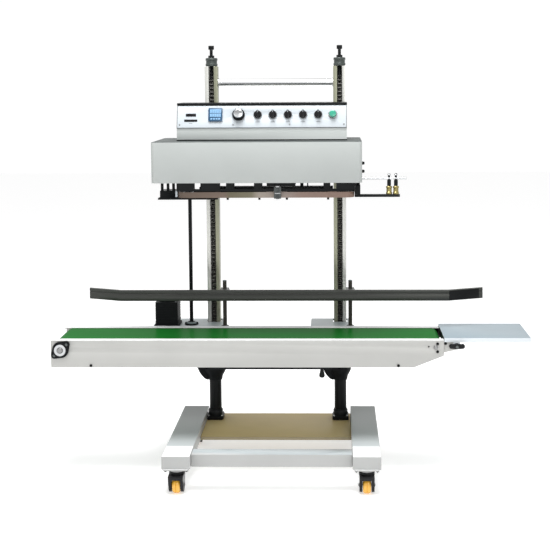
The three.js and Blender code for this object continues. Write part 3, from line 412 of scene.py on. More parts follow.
def skin(bm, rings):
    """Faces between closed rings of vertices, each ring joined to the next."""
    for first, second in zip(rings, rings[1:]):
        for index in range(len(first)):
            after = (index + 1) % len(first)
            bm.faces.new((first[index], first[after], second[after], second[index]))


def arc(x, y, radius, start, end, steps=10):
    """Points on an arc, angles in degrees."""
    angles = [math.radians(start + (end - start) * step / steps) for step in range(steps + 1)]
    return [(x + radius * math.cos(angle), y + radius * math.sin(angle)) for angle in angles]


def rounded(x0, x1, y0, y1, radius, steps=6):
    """Outline of a rectangle with round corners."""
    return (arc(x1 - radius, y0 + radius, radius, -90, 0, steps)
            + arc(x1 - radius, y1 - radius, radius, 0, 90, steps)
            + arc(x0 + radius, y1 - radius, radius, 90, 180, steps)
            + arc(x0 + radius, y0 + radius, radius, 180, 270, steps))


def add_screw(bm, point, direction, radius, height=None):
    """A pan-head screw with a hexagon socket, standing on a face."""
    height = height or radius * 0.7
    place = frame_at(point, direction)
    socket = radius * 0.45
    add_lathe(bm, [(0, 0), (radius, 0), (radius, height * 0.55), (radius * 0.8, height), (socket, height)],
              place, 20)
    add_lathe(bm, [(socket, height), (socket, height * 0.4), (0, height * 0.4)], place, 6)


def add_hex_nut(bm, point, direction, across, height):
    """A hexagon nut with chamfered corners, and the end of its bolt."""
    place = frame_at(point, direction)
    corner = across / math.sqrt(3)
    add_prism(bm, arc(0, 0, corner, 0, 300, 5), 0, height, place, bevel=across * 0.05)
    add_lathe(bm, [(0, 0), (across * 0.28, 0), (across * 0.28, height * 1.35), (across * 0.22, height * 1.5),
                   (0, height * 1.5)], place, 16)


def piece(name, bm, material, body, replaces=(), smooth=35):
    """Turns a bmesh in millimetres into a named piece that rides on a body and may stand for CAD nodes."""
    bm.transform(Matrix.Scale(MM, 4))
    bmesh.ops.remove_doubles(bm, verts=bm.verts[:], dist=1e-6)
    bmesh.ops.recalc_face_normals(bm, faces=bm.faces[:])
    mesh = bpy.data.meshes.new(name)
    bm.to_mesh(mesh)
    bm.free()
    mesh.polygons.foreach_set("use_smooth", [True] * len(mesh.polygons))
    mesh.set_sharp_from_angle(angle=math.radians(smooth))
    mesh.materials.append(material)
    obj = bpy.data.objects.new(name, mesh)
    bpy.context.scene.collection.objects.link(obj)
    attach(obj, body)
    if replaces:
        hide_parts(*replaces)
    return obj


def dress(node, material, bevel=0.8):
    """Gives a CAD node its material and rounded, smoothly shaded edges (bevel in millimetres)."""
    obj = NODES[node]
    obj.data.materials.clear()
    obj.data.materials.append(material)
    obj.data.polygons.foreach_set("use_smooth", [True] * len(obj.data.polygons))
    weld = obj.modifiers.new("weld", "WELD")
    weld.merge_threshold = 1e-5
    edge = obj.modifiers.new("edges", "BEVEL")
    edge.width = bevel * MM
    edge.segments = 2
    edge.limit_method = "ANGLE"
    edge.angle_limit = math.radians(40)
    edge.harden_normals = True
    return obj


# ------------------------------------------------------------------ base and columns


def build_base():
    """Rails, cross bar, board, and the column tubes with their feet and nuts."""
    for side in ("left", "right"):
        dress(f"rail_{side}", RAIL_ENAMEL_PAINTED_LIGHT, 2.0)
    dress("cross_bar_front", BAR_ENAMEL, 2.0)
    dress("base_plate", BOARD, 1.0)
    nuts = bmesh.new()
    tubes = bmesh.new()
    for side in ("left", "right"):
        low, high = box(f"column_tube_{side}")
        centre = (low + high) / 2
        foot = 12
        for dx in (-1, 1):
            for dy in (-1, 1):
                point = (centre.x + dx * 21.5, centre.y + dy * 21.5, low.z + foot)
                add_hex_nut(nuts, point, Z_AXIS, 6.5, 3)
        add_prism(tubes, rounded(low.x, high.x, low.y, high.y, 5), low.z, low.z + foot, bevel=1.2)
        height = high.z - low.z
        add_lathe(tubes, [(0, foot), (23.6, foot), (23.6, foot + 18), (21.6, foot + 21), (20, foot + 21),
                          (20, height - 1), (19, height), (0, height)],
                  Matrix.Translation((centre.x, centre.y, low.z)), 56)
    piece("foot_nuts", nuts, STEEL, "frame")
    nodes = ("column_tube_left", "column_tube_right")
    piece("column_tubes", tubes, BLACK_PAINT, "frame", nodes)


def chain_link_outline(length, radius, waist):
    """Figure-of-eight side plate of a roller chain, drawn along Y (depth) and Z (length)."""
    lower = arc(0, 0, radius, 180, 360, 8)
    upper = arc(0, length, radius, 0, 180, 8)
    return lower + [(waist, length / 2)] + upper + [(-waist, length / 2)]


def build_chain(side):
    """Roller chain with its threaded tension bolt, lock nut, column seat and bolt head."""
    low, high = box(f"lift_chain_{side}")
    channel_low, channel_high = box(f"column_channel_{side}")
    x = (channel_low.x + channel_high.x) / 2
    chain_y = (channel_low.y + channel_high.y) / 2 - 7
    seat = channel_high.z
    bm = bmesh.new()
    count = int((seat - 30 - low.z) / CHAIN_PITCH)
    for link in range(count):
        z = low.z + 6 + link * CHAIN_PITCH
        offset = 4.6 if link % 2 else 6.1
        outline = chain_link_outline(CHAIN_PITCH, 5.2, 3.4)
        for sign in (-1, 1):
            place = Matrix.Translation((x + sign * offset, chain_y, z)) @ ALONG_X
            add_prism(bm, outline, -CHAIN_PLATE / 2, CHAIN_PLATE / 2, place)
        add_rod(bm, (x - 3.9, chain_y, z), (x + 3.9, chain_y, z), CHAIN_ROLLER, 16)
        add_rod(bm, (x - 7.6, chain_y, z), (x + 7.6, chain_y, z), 1.9, 10)
    piece(f"roller_chain_{side}", bm, CHAIN_STEEL, "frame", (f"lift_chain_{side}",))

    bm = bmesh.new()
    thread = [(0, 0)]
    bottom = low.z + count * CHAIN_PITCH
    turns = int((high.z - 10 - bottom) / THREAD_PITCH)
    for turn in range(turns):
        thread += [(5.4, turn * THREAD_PITCH), (4.7, (turn + 0.5) * THREAD_PITCH)]
    thread.append((0, turns * THREAD_PITCH))
    add_lathe(bm, thread, Matrix.Translation((x, chain_y, bottom)), 20)
    add_box(bm, (x - 9, chain_y - 4, high.z - 13), (x + 9, chain_y + 4, high.z), 2)
    add_hex_nut(bm, (x, chain_y, seat + 27.3), Z_AXIS, 17, 8)
    piece(f"tension_bolt_{side}", bm, BLACK_PAINT, "frame")

    bm = bmesh.new()
    profile = [(0, 0), (17.5, 0), (19.5, 2), (19.5, 8), (18, 9.5), (18, 18), (19.5, 19.5), (19.5, 25),
               (17.5, 27), (0, 27)]
    add_lathe(bm, profile, Matrix.Translation((x, chain_y + 7, seat + 0.3)), 48)
    piece(f"column_seat_{side}", bm, SEAT_METAL, "frame")


def build_columns():
    """Channels with their chains, and the handle bar between them."""
    for side in ("left", "right"):
        dress(f"column_channel_{side}", COLUMN_METAL_PAINTED_REFLECTION, 0.6)
        build_chain(side)
    low, high = box("top_handle_bar")
    centre = (low + high) / 2
    radius = (high.z - low.z) / 2
    bm = bmesh.new()
    add_rod(bm, (low.x, centre.y, centre.z), (high.x, centre.y, centre.z), radius, 48)
    for x, direction in ((low.x, 1), (high.x, -1)):
        add_rod(bm, (x, centre.y, centre.z), (x + direction * 4, centre.y, centre.z), radius * 1.25, 48, 1)
    piece("handle_bar", bm, CHROME, "frame", ("top_handle_bar",))


# ------------------------------------------------------------------ castors


def build_castors():
    """Fork, bearing dome, tread and hub of each castor, and the plate bolts on the rails."""
    for corner in CORNERS:
        swivel = f"castor_swivel_{corner}"
        dress(f"castor_fork_{corner}", BLACK_PLASTIC, 1.2)
        axis = pivot_of(swivel)
        hub = pivot_of(f"castor_roll_{corner}")
        fork_low, fork_high = box(f"castor_fork_{corner}")
        wheel_low, wheel_high = box(f"castor_wheel_{corner}")
        half = (wheel_high.x - wheel_low.x) / 2
        radius = (wheel_high.z - wheel_low.z) / 2

        bm = bmesh.new()
        dome = Matrix.Translation((axis.x, axis.y, fork_high.z - 10.2))
        add_lathe(bm, [(17.2, 0), (19.6, 0.2), (19.6, 3), (18.4, 7.4), (17.2, 9.6)], dome, 40)
        for sign in (-1, 1):
            face = hub.x + sign * (fork_high.x - fork_low.x) / 2
            add_hex_nut(bm, (face - sign * 3, hub.y, hub.z), X_AXIS * sign, 10, 2)
        piece(f"castor_dome_{corner}", bm, ROLLER_STEEL, swivel)

        bm = bmesh.new()
        place = frame_at((hub.x - half, hub.y, hub.z), X_AXIS)
        width = 2 * half
        profile = [(13, 1.5), (radius - 6, 0.6), (radius - 2.5, 2.5), (radius - 0.4, 6.5), (radius, 10),
                   (radius, width / 2 - 1.2), (radius - 1.4, width / 2)]
        profile += [(r, width - h) for r, h in reversed(profile[:-1])]
        add_lathe(bm, profile, place, 56)
        piece(f"castor_tread_{corner}", bm, AMBER, f"castor_roll_{corner}", (f"castor_wheel_{corner}",))

        bm = bmesh.new()
        bore = 4.5
        add_lathe(bm, [(bore, 0), (8, 0), (8, 2.5), (13.1, 2.5), (13.1, width - 2.5),
                       (8, width - 2.5), (8, width), (bore, width), (bore, 0)], place, 32)
        piece(f"castor_hub_{corner}", bm, STEEL, f"castor_roll_{corner}")

    for rail, corners in (("rail_left", CORNERS[0::2]), ("rail_right", CORNERS[1::2])):
        bm = bmesh.new()
        for corner in corners:
            axis = pivot_of(f"castor_swivel_{corner}")
            plate_bottom = box(rail)[0].z
            for dx in (-31, 31):
                for dy in (-23, 23):
                    add_hex_nut(bm, (axis.x + dx, axis.y + dy, plate_bottom), -Z_AXIS, 9.5, 4.4)
        piece(f"castor_bolts_{rail}", bm, BLACK_PAINT, "frame")


# ------------------------------------------------------------------ conveyor


def belt_path(extra):
    """Closed outline of the belt round both rollers, in X and Z, offset outwards by extra."""
    drive = middle("drive_roller")
    idler = middle("idler_roller")
    drive_low, drive_high = box("drive_roller")
    idler_low, idler_high = box("idler_roller")
    drive_radius = (drive_high.z - drive_low.z) / 2 + extra
    idler_radius = (idler_high.z - idler_low.z) / 2 + extra
    reach = math.hypot(idler.x - drive.x, idler.z - drive.z)
    tilt = math.degrees(math.atan2(idler.z - drive.z, idler.x - drive.x))
    spread = math.degrees(math.acos((drive_radius - idler_radius) / reach))
    return (arc(drive.x, drive.z, drive_radius, tilt + spread, tilt + 360 - spread, 40)
            + arc(idler.x, idler.z, idler_radius, tilt - spread, tilt + spread, 32))


def build_belt():
    """Belt loop with thin edges, and the two rollers inside it."""
    low, high = box("conveyor_belt")
    inner = belt_path(0.35)
    outer = belt_path(2.0)
    bm = bmesh.new()
    rows = []
    for outline, y in ((inner, low.y + 0.8), (inner, high.y - 0.8), (outer, high.y - 0.5),
                       (outer, low.y + 0.5)):
        rows.append([bm.verts.new((x, y, z)) for x, z in outline])
    edges = [[bm.verts.new((x, y, z)) for x, z in belt_path(1.2)] for y in (low.y, high.y)]
    skin(bm, [rows[0], rows[1], edges[1], rows[2], rows[3], edges[0], rows[0]])
    piece("belt_loop", bm, BELT, "conveyor", ("conveyor_belt",))

    for name, axle in (("drive_roller", 8), ("idler_roller", 6)):
        roller_low, roller_high = box(name)
        centre = (roller_low + roller_high) / 2
        radius = (roller_high.z - roller_low.z) / 2
        bm = bmesh.new()
        place = frame_at((centre.x, roller_low.y, centre.z), Y_AXIS)
        y0, y1 = low.y + 2 - roller_low.y, high.y - 2 - roller_low.y
        total = roller_high.y - roller_low.y
        add_lathe(bm, [(0, 0), (axle - 1, 0), (axle, 1), (axle, y0), (radius - 1, y0), (radius, y0 + 1),
                       (radius, y1 - 1), (radius - 1, y1), (axle, y1), (axle, total - 1),
                       (axle - 1, total), (0, total)], place, 56)
        piece(f"{name}_turned", bm, ROLLER_STEEL, f"{name}_body", (name,))


def build_idler_block():
    """Black block inside the rear side plate that carries the idler roller's axle."""
    axle = middle("idler_roller")
    low, high = box("conveyor_side_rear")
    y0, y1 = low.y + 2.5, high.y - 3.2
    x0, x1 = axle.x - 18, high.x - 1
    z0, z1 = axle.z - 26, high.z - 3.5
    gap = 7
    bm = bmesh.new()
    add_box(bm, (x0, y0, z0), (x1, y1, axle.z - gap), 0.8)
    add_box(bm, (x0, y0, axle.z + gap), (x1, y1, z1), 0.8)
    add_box(bm, (x0, y0, z0), (axle.x - gap, y1, z1), 0.8)
    add_box(bm, (axle.x + gap, y0, z0), (x1, y1, z1), 0.8)
    piece("idler_block", bm, BLACK_PLASTIC, "conveyor")


def build_side_plates():
    """Painted side plates with their screws."""
    for side in ("front", "rear"):
        dress(f"conveyor_side_{side}", SIDE_PAINT, 1.0)
    low, high = box("conveyor_side_front")
    bm = bmesh.new()
    right = high.x
    for dx, z, radius in ((-19.4, 72.4, 4.4), (-19.4, 48.4, 4.4), (-46, 64, 2.2)):
        add_screw(bm, (right + dx, low.y, low.z + z), -Y_AXIS, radius)
    for x in (low.x + 122, right - 137):
        add_screw(bm, (x, low.y, low.z + 5.5), -Y_AXIS, 4.4)
    rear = box("conveyor_side_rear")[1].y
    for x in (low.x + 60, low.x + 400, right - 300, right - 40):
        add_screw(bm, (x, rear, low.z + 60), Y_AXIS, 3.4)
    piece("conveyor_screws", bm, BLACK_PAINT, "conveyor")


def build_flange_bearing():
    """Rhombic two-bolt bearing: a cast housing, a bright ring, and the shaft's dark end."""
    centre = middle("drive_roller")
    back = box("flange_bearing")[1].y
    tilt = math.radians(42)
    outwards = Vector((math.cos(tilt), 0, math.sin(tilt)))
    place = Matrix.Translation((centre.x, back, centre.z)) @ TOWARDS_FRONT @ Matrix.Rotation(tilt, 4, "Z")
    lobe = 25
    outline = (arc(lobe, 0, 10, -55, 55, 10) + arc(0, 0, 25, 62, 118, 10)
               + arc(-lobe, 0, 10, 125, 235, 10) + arc(0, 0, 25, 242, 298, 10))
    bm = bmesh.new()
    add_prism(bm, outline, 0, 7, place, bevel=1.2)
    add_lathe(bm, [(23, 6.5), (22.4, 10), (21, 11.5), (19.2, 11.5), (18.8, 9)], place, 48)
    piece("bearing_housing", bm, BLACK_CASTING, "conveyor", ("flange_bearing",))
    bm = bmesh.new()
    add_lathe(bm, [(18.6, 7), (18.6, 10.6), (17.4, 12.4), (9.6, 12.4), (9, 11.4), (9, 7)], place, 48)
    piece("bearing_ring", bm, STEEL, "conveyor")
    bm = bmesh.new()
    for sign in (-1, 1):
        point = Vector((centre.x, back - 7, centre.z)) + outwards * lobe * sign
        add_hex_nut(bm, point, -Y_AXIS, 8, 2.6)
    piece("bearing_bolts", bm, DARK_STEEL, "conveyor")


def build_support():
    """Castings that carry the conveyor: a bowl and a clamp lug on each column, gussets and the cross bar."""
    low, high = box("conveyor_support")
    tubes = [middle(f"column_tube_{side}") for side in ("left", "right")]
    top = high.z
    height = top - low.z
    front = low.y
    bm = bmesh.new()
    for tube in tubes:
        bore = 20.5
        add_lathe(bm, [(bore, 0), (22, 0), (23.2, 1.2), (24, 9), (26, 16), (30.4, 23), (34, 31), (35.8, 38),
                       (36.6, 60), (37, 90), (37, height - 8), (bore, height - 8), (bore, 0)],
                  Matrix.Translation((tube.x, tube.y, low.z)), 56)
        lug = [(-22, 0), (-28, 1), (-35, 4.6), (-44, 14), (-52, 26), (-58, 40), (-63, 58), (-65.6, 78),
               (-66, 122.7), (-22, 122.7)]
        outline = [(tube.x + x, low.z + z) for x, z in lug]
        add_prism(bm, outline, tube.y - 14, tube.y + 14, ALONG_Y, bevel=2.5)
        add_prism(bm, rounded(tube.x - 34, tube.x + 34, tube.y - 36, tube.y + 30, 7),
                  top - 16, top, bevel=1.5)
        gusset = [(tube.y - 24, top - 60), (tube.y - 24, top), (front, top), (front, top - 13.7)]
        add_prism(bm, gusset, tube.x - 10, tube.x + 10, ALONG_X, bevel=1.5)
    add_box(bm, (tubes[0].x, front, top - 14.7), (tubes[1].x, front + 20, top), 1)
    piece("support_casting", bm, BLACK_CASTING, "conveyor", ("conveyor_support",))

    bm = bmesh.new()
    for tube in tubes:
        for z in (top - 62, top - 30):
            add_hex_nut(bm, (tube.x - 51, tube.y + 14, z), Y_AXIS, 9, 4)
    piece("support_clamp_nuts", bm, STEEL, "conveyor")


def build_clamp_lever():
    """Boss and moulded handle of the lever that clamps the conveyor."""
    low, high = box("clamp_lever")
    pivot = pivot_of("clamp_lever_turn")
    depth = high.y - low.y
    bm = bmesh.new()
    add_lathe(bm, [(0, 0), (7, 0), (8, 1), (8, depth - 2), (6.6, depth), (3, depth), (2.6, depth - 1.4),
                   (0, depth - 1.4)], frame_at((pivot.x, high.y, pivot.z), -Y_AXIS), 32)
    reach = pivot.z - low.z
    flat = Matrix.Diagonal((1, 0.65, 1, 1))
    add_lathe(bm, [(0, 0), (5, 0), (4.4, reach * 0.3), (5.4, reach * 0.6), (8.4, reach * 0.8),
                   (9.6, reach * 0.88), (8.6, reach * 0.96), (5, reach * 0.995), (0, reach)],
              frame_at((pivot.x, (low.y + high.y) / 2, pivot.z), -Z_AXIS) @ flat, 28)
    piece("clamp_lever_moulded", bm, BLACK_PLASTIC, "clamp_lever_body", ("clamp_lever",))


def build_deck():
    """Deck plate, shaft bearing ring and the two guide posts with their flanged feet."""
    dress("deck_plate", DECK_PAINT, 0.8)
    low, high = box("deck_plate")
    post_y = low.y + 13.7
    bm = bmesh.new()
    for x in post_places():
        base = Matrix.Translation((x, post_y, high.z - 154))
        add_lathe(bm, [(6.35, 6), (6.35, 151), (5.2, 154), (0, 154)], base, 32)
        add_lathe(bm, [(6.4, 7.5), (12, 6.6), (12.4, 5), (12.4, 0.2)], base, 32)
    piece("guide_posts", bm, POST_METAL, "conveyor")
    shaft = middle("drive_shaft")
    bm = bmesh.new()
    add_lathe(bm, [(6.6, 9.6), (12, 9.6), (13, 8.6), (14, 4), (22, 3.4), (22.6, 0.2)],
              Matrix.Translation((shaft.x, shaft.y, deck_top())), 40)
    for dx, dy in ((-18, 0), (18, 0)):
        add_hex_nut(bm, (shaft.x + dx, shaft.y + dy, deck_top() + 3), Z_AXIS, 7, 3)
    piece("shaft_bearing", bm, BLACK_CASTING, "conveyor")


def deck_top():
    """Height of the deck plate's upper face: the gear motor stands on it."""
    return box("gear_motor")[0].z - 0.3


def post_places():
    """X of each guide post: the arms of the guide rail are centred on them."""
    centre = middle("drive_shaft").x
    return (centre + 114.5, centre + 517.5)


def build_gear_motor():
    """Square black motor with faint ribs, a foot flange and a low round cap."""
    low, high = box("gear_motor")
    centre = (low + high) / 2
    bm = bmesh.new()
    inset = 4
    outline = rounded(low.x + inset, high.x - inset, low.y + inset, high.y - inset, 6)
    add_prism(bm, outline, low.z + 5, high.z - 7, bevel=2)
    add_prism(bm, rounded(low.x, high.x, low.y, high.y, 5), low.z, low.z + 6, bevel=1)
    outline = rounded(low.x + 3, high.x - 3, low.y + 3, high.y - 3, 7)
    add_prism(bm, outline, low.z + 13, low.z + 17, bevel=0.8)
    for level in range(6):
        z = low.z + 26 + level * 8
        outline = rounded(low.x + 3.4, high.x - 3.4, low.y + 3.4, high.y - 3.4, 7)
        add_prism(bm, outline, z, z + 2.4, bevel=0.4)
    add_lathe(bm, [(30, 0), (30, 5), (28, 7.5), (12, 7.5), (11, 6), (0, 6)],
              Matrix.Translation((centre.x, centre.y, high.z - 8)), 48)
    piece("gear_motor_housing", bm, BLACK_CASTING, "conveyor", ("gear_motor",))
    bm = bmesh.new()
    for dx in (-1, 1):
        for dy in (-1, 1):
            point = (centre.x + dx * 30, centre.y + dy * 34, high.z - 7)
            add_screw(bm, point, Z_AXIS, 3)
    piece("gear_motor_screws", bm, DARK_STEEL, "conveyor")


def build_guide():
    """Guide rail with its clamp screws and the black pad on its bent right end."""
    dress("guide_rail", GUIDE_METAL, 0.7)
    low, high = box("guide_rail")
    centre = middle("guide_rail")
    bm = bmesh.new()
    for x in post_places():
        for z in (0.3, 0.7):
            point = (x + 13, centre.y + 30, low.z + (high.z - low.z) * z)
            add_screw(bm, point, X_AXIS, 3)
    piece("guide_clamp_screws", bm, STEEL, "guide")
    bend = Vector((high.x - 112, low.y, centre.z))
    outwards = Vector((112, 45, 0)).normalized()
    place = Matrix((outwards, Z_AXIS, outwards.cross(Z_AXIS))).transposed().to_4x4()
    place.translation = bend
    half = (high.z - low.z) / 2 - 2.5
    bm = bmesh.new()
    add_prism(bm, rounded(2, 107, -half, half, 2), -1, 1, place, bevel=0.4)
    piece("guide_end_pad", bm, BLACK_PAINT, "guide")


def build_tray():
    """Tray, bracket and wing knob with its cap."""
    dress("infeed_tray", TRAY_PAINT, 0.9)
    dress("tray_bracket", BRACKET_PAINTED_SHADE, 0.6)
    pivot = pivot_of("tray_knob_turn")
    face = box("infeed_tray")[0].y
    bm = bmesh.new()
    place = frame_at((pivot.x, face - 0.3, pivot.z), -Y_AXIS)
    add_lathe(bm, [(0, 0), (8.6, 0), (9.2, 1), (8.4, 10), (6, 14), (0, 14.5)], place, 36)
    wing = (arc(16.5, 1, 7.6, -70, 140, 12) + arc(-16.5, 1, 7.6, 40, 250, 12)
            + [(-8, -6.5), (8, -6.5)])
    flat = Matrix.Translation((pivot.x, face - 0.3, pivot.z)) @ TOWARDS_FRONT
    add_prism(bm, wing, 5, 12.5, flat, bevel=1.6)
    add_rod(bm, (pivot.x, face - 1, pivot.z), (pivot.x, face + 12, pivot.z), 4, 20, 0.8)
    piece("tray_wing_knob", bm, BLACK_PLASTIC, "tray_knob_body", ("tray_knob",))
    bm = bmesh.new()
    add_lathe(bm, [(0, 14.4), (4.4, 14.4), (4.4, 15.4), (0, 15.6)], place, 24)
    piece("tray_knob_cap", bm, DARK_STEEL, "tray_knob_body")
    bm = bmesh.new()
    arm_low, arm_high = box("tray_bracket")
    add_screw(bm, (arm_low.x + 17.5, arm_low.y, arm_high.z - 5), -Y_AXIS, 4.4)
    piece("tray_bracket_screw", bm, BLACK_PAINT, "conveyor")


def build_conveyor():
    build_side_plates()
    dress("belt_bed", STEEL, 0.5)
    build_belt()
    build_idler_block()
    build_flange_bearing()
    build_support()
    build_clamp_lever()
    build_deck()
    build_gear_motor()
    dress("drive_shaft", BLACK_PAINT, 0.4)
    build_guide()
    build_tray()


# ------------------------------------------------------------------ sealing head


def loop_outline(centre_y, left, right, radius, steps=24):
    """Outline of a band round its two wheels, in X and Y."""
    return (arc(right, centre_y, radius, -90, 90, steps) + arc(left, centre_y, radius, 90, 270, steps))


def build_bands():
    """Both seal bands with their wheels and jaws."""
    band = band_finish(box("seal_band_front")[0].x, box("seal_band_front")[1].x)
    for side in ("front", "rear"):
        low, high = box(f"seal_band_{side}")
        left = middle(f"band_wheel_{side}_left")
        right = middle(f"band_wheel_{side}_right")
        radius = (high.y - low.y) / 2
        bm = bmesh.new()
        outlines = [(radius, low.z), (radius, high.z), (radius - 0.7, high.z), (radius - 0.7, low.z)]
        rings = [[bm.verts.new((x, y, z)) for x, y in loop_outline(left.y, left.x, right.x, r)]
                 for r, z in outlines]
        skin(bm, rings + rings[:1])
        piece(f"band_{side}", bm, band, "head", (f"seal_band_{side}",))
        for end in ("left", "right"):
            build_band_wheel(f"band_wheel_{side}_{end}")
        dress(f"seal_jaw_{side}", BLACK_PAINT, 0.6)


def build_band_wheel(node):
    """Turned wheel with a hollow web on its axle."""
    low, high = box(node)
    centre = (low + high) / 2
    radius = (high.x - low.x) / 2
    tread = box("seal_band_front")
    z0, z1 = tread[0].z - low.z + 0.5, tread[1].z - low.z - 0.5
    total = high.z - low.z
    bm = bmesh.new()
    add_lathe(bm, [(0, 0), (4.4, 0), (5, 0.6), (5, z0), (12, z0), (13, z0 + 3), (21, z0 + 3), (22, z0),
                   (radius, z0), (radius, z1), (22, z1), (21, z1 - 3), (13, z1 - 3), (12, z1), (5, z1),
                   (5, total), (0, total)], Matrix.Translation((centre.x, centre.y, low.z)), 48)
    piece(f"{node}_turned", bm, STEEL, f"{node}_body", (node,))


def build_press_roller():
    """Knurled roller on its spindle."""
    low, high = box("press_roller")
    centre = (low + high) / 2
    radius = (high.y - low.y) / 2
    z0 = 3
    z1 = z0 + 34.5
    bm = bmesh.new()
    place = Matrix.Translation((centre.x, centre.y, low.z))
    teeth = 36
    outline = []
    for tooth in range(teeth):
        for phase, reach in ((0.0, 0.93), (0.5, 1.0)):
            angle = 2 * math.pi * (tooth + phase) / teeth
            outline.append((radius * reach * math.cos(angle), radius * reach * math.sin(angle)))
    add_prism(bm, outline, z0, z1, place, bevel=0.5)
    piece("press_roller_knurled", bm, DARK_STEEL, "press_roller_body", ("press_roller",))
    bm = bmesh.new()
    for start, end, reach in ((0.2, high.z - low.z, 4), (z1 - 0.5, z1 + 4, 7.5),
                              (z0 + 15, z0 + 17.5, radius + 0.15)):
        add_lathe(bm, [(0, start), (reach, start), (reach, end), (0, end)], place, 32)
    piece("press_roller_spindle", bm, STEEL, "press_roller_body")


def build_press_bracket():
    """Black bearing bracket under the head that carries the press roller's spindle."""
    low, high = box("press_roller")
    centre = (low + high) / 2
    z1 = box("head_cover")[0].z + 0.5
    z0 = z1 - 13.49  # just clear of the spindle's collar
    place = Matrix.Translation((centre.x, centre.y, 0))
    bm = bmesh.new()
    add_lathe(bm, [(4.6, z0), (11, z0), (11, z1), (4.6, z1), (4.6, z0)], place, 32)
    add_box(bm, (centre.x - 32.5, centre.y - 9, z0), (centre.x - 8, centre.y + 9, z1), 1)
    add_box(bm, (centre.x + 8, centre.y - 9, z0), (centre.x + 54.5, centre.y + 9, z1), 1)
    piece("press_bracket", bm, BLACK_PAINT, "head")


def build_under_head():
    """Small fittings between the head and the bands: bolts, a thin rod and the band's end guard."""
    band_low, band_high = box("seal_band_front")
    cover = box("head_cover")
    front = band_low.y
    centre = (cover[0].x + cover[1].x) / 2 + 42.5
    bm = bmesh.new()
    for x in (-136, -39, 45, 171):
        point = Vector((centre + x, front + 16, band_low.z - 0.5))
        add_rod(bm, point, point - 7 * Z_AXIS, 3.6, 16, 0.8)
    point = Vector((centre + 109, front + 4, band_high.z - 10))
    add_rod(bm, point, (point.x, point.y, cover[0].z), 2, 14, 0.5)
    piece("hanger_bolts", bm, BLACK_PAINT, "head")
    bm = bmesh.new()
    left = band_low.x
    add_box(bm, (left - 7, front + 14, band_low.z + 2), (left - 1, front + 24, band_high.z + 3), 0.8)
    piece("band_end_guard", bm, PANEL_WHITE, "head")


def build_infeed_guide():
    """Slide bar with its pins, brass rollers and upper rod."""
    dress("infeed_guide", BLACK_PAINT, 0.6)
    bm = bmesh.new()
    for side in ("left", "right"):
        node = f"infeed_roller_{side}"
        low, high = box(node)
        centre = (low + high) / 2
        radius = (high.x - low.x) / 2
        height = high.z - low.z
        roller = bmesh.new()
        add_lathe(roller, [(4, 0), (radius - 1, 0), (radius, 1), (radius, 6), (radius - 1.2, 7.5),
                           (radius - 1.2, height - 7.5), (radius, height - 6), (radius, height - 1),
                           (radius - 1, height), (4, height), (4, 0)],
                  Matrix.Translation((centre.x, centre.y, low.z)), 40)
        piece(f"{node}_turned", roller, BRASS, f"{node}_body", (node,))
        pin_top = box("infeed_guide")[1].z
        add_lathe(bm, [(0, 0), (5, 0), (5, 3), (4, 4), (0, 4)],
                  Matrix.Translation((centre.x, centre.y, pin_top - 6)), 24)
    rod = box("infeed_guide")
    cover = box("head_cover")
    z = box("seal_band_front")[0].z + 55
    y = middle("infeed_roller_left").y
    add_rod(bm, (cover[1].x + 0.6, y, z), (rod[1].x, y, z), 3.7, 24, 0.8)
    piece("infeed_rod", bm, STEEL, "head")


def build_head():
    """Cover with screws and vents, and everything under it."""
    dress("head_cover", CASING, 1.5)
    dress("head_plate", BLACK_PAINT, 0.8)
    build_bands()
    build_press_roller()
    build_press_bracket()
    build_under_head()
    build_infeed_guide()
    low, high = box("head_cover")
    bm = bmesh.new()
    for dz in (26, 51):
        add_screw(bm, (high.x, low.y + 110, low.z + dz), X_AXIS, 5, 10)
        add_screw(bm, (low.x, low.y + 110, low.z + dz), -X_AXIS, 5, 10)
    for x in (0.12, 0.5, 0.88):
        add_screw(bm, (low.x + (high.x - low.x) * x, high.y, high.z - 14), Y_AXIS, 3.4)
    piece("cover_screws", bm, BLACK_PAINT, "head")
    bm = bmesh.new()
    for row in range(6):
        z = low.z + 34 + row * 10
        add_box(bm, (-75, high.y - 0.5, z), (45, high.y + 2.2, z + 4), 1)
    piece("cover_vents", bm, CASING, "head")


# ------------------------------------------------------------------ control box


def control_place(joint):
    """Matrix at a control's axis on the panel's back face: X along, Y up the slope, Z outwards."""
    normal = Vector(JOINTS["speed_knob_turn"]["axis"]).normalized()
    matrix = Matrix((X_AXIS, normal.cross(X_AXIS), normal)).transposed().to_4x4()
    matrix.translation = pivot_of(joint)
    return matrix


def panel_place(x):
    """The same matrix on the row of controls at a given X."""
    matrix = control_place("speed_knob_turn")
    matrix.translation.x = x
    return matrix


def build_knob():
    """Fluted black skirt, bright cap and its pointer."""
    place = control_place("speed_knob_turn")
    base = PANEL_FACE + 0.5
    points = 96
    outline = []
    for step in range(points):
        angle = 2 * math.pi * step / points
        reach = 19.3 if step % 4 < 2 else 18.6
        outline.append((reach * math.cos(angle), reach * math.sin(angle)))
    bm = bmesh.new()
    add_prism(bm, outline, base, base + 6, place, bevel=0.4)
    add_lathe(bm, [(18.4, base + 5.6), (16, base + 8), (14.6, base + 10), (14.4, base + 15),
                   (13.6, base + 16)], place, 56)
    piece("speed_knob_skirt", bm, BLACK_PLASTIC, "speed_knob_body", ("speed_knob",))
    bm = bmesh.new()
    add_lathe(bm, [(14.2, base + 10), (14.1, base + 17), (13, base + 19), (11, base + 19.8),
                   (0, base + 19.6)], place, 56)
    piece("speed_knob_cap", bm, CHROME, "speed_knob_body")
    bm = bmesh.new()
    add_box(bm, (-0.7, 10, base + 19.2), (0.7, 13.4, base + 20.2), 0.2, place)
    piece("speed_knob_pointer", bm, BLACK_PLASTIC, "speed_knob_body")


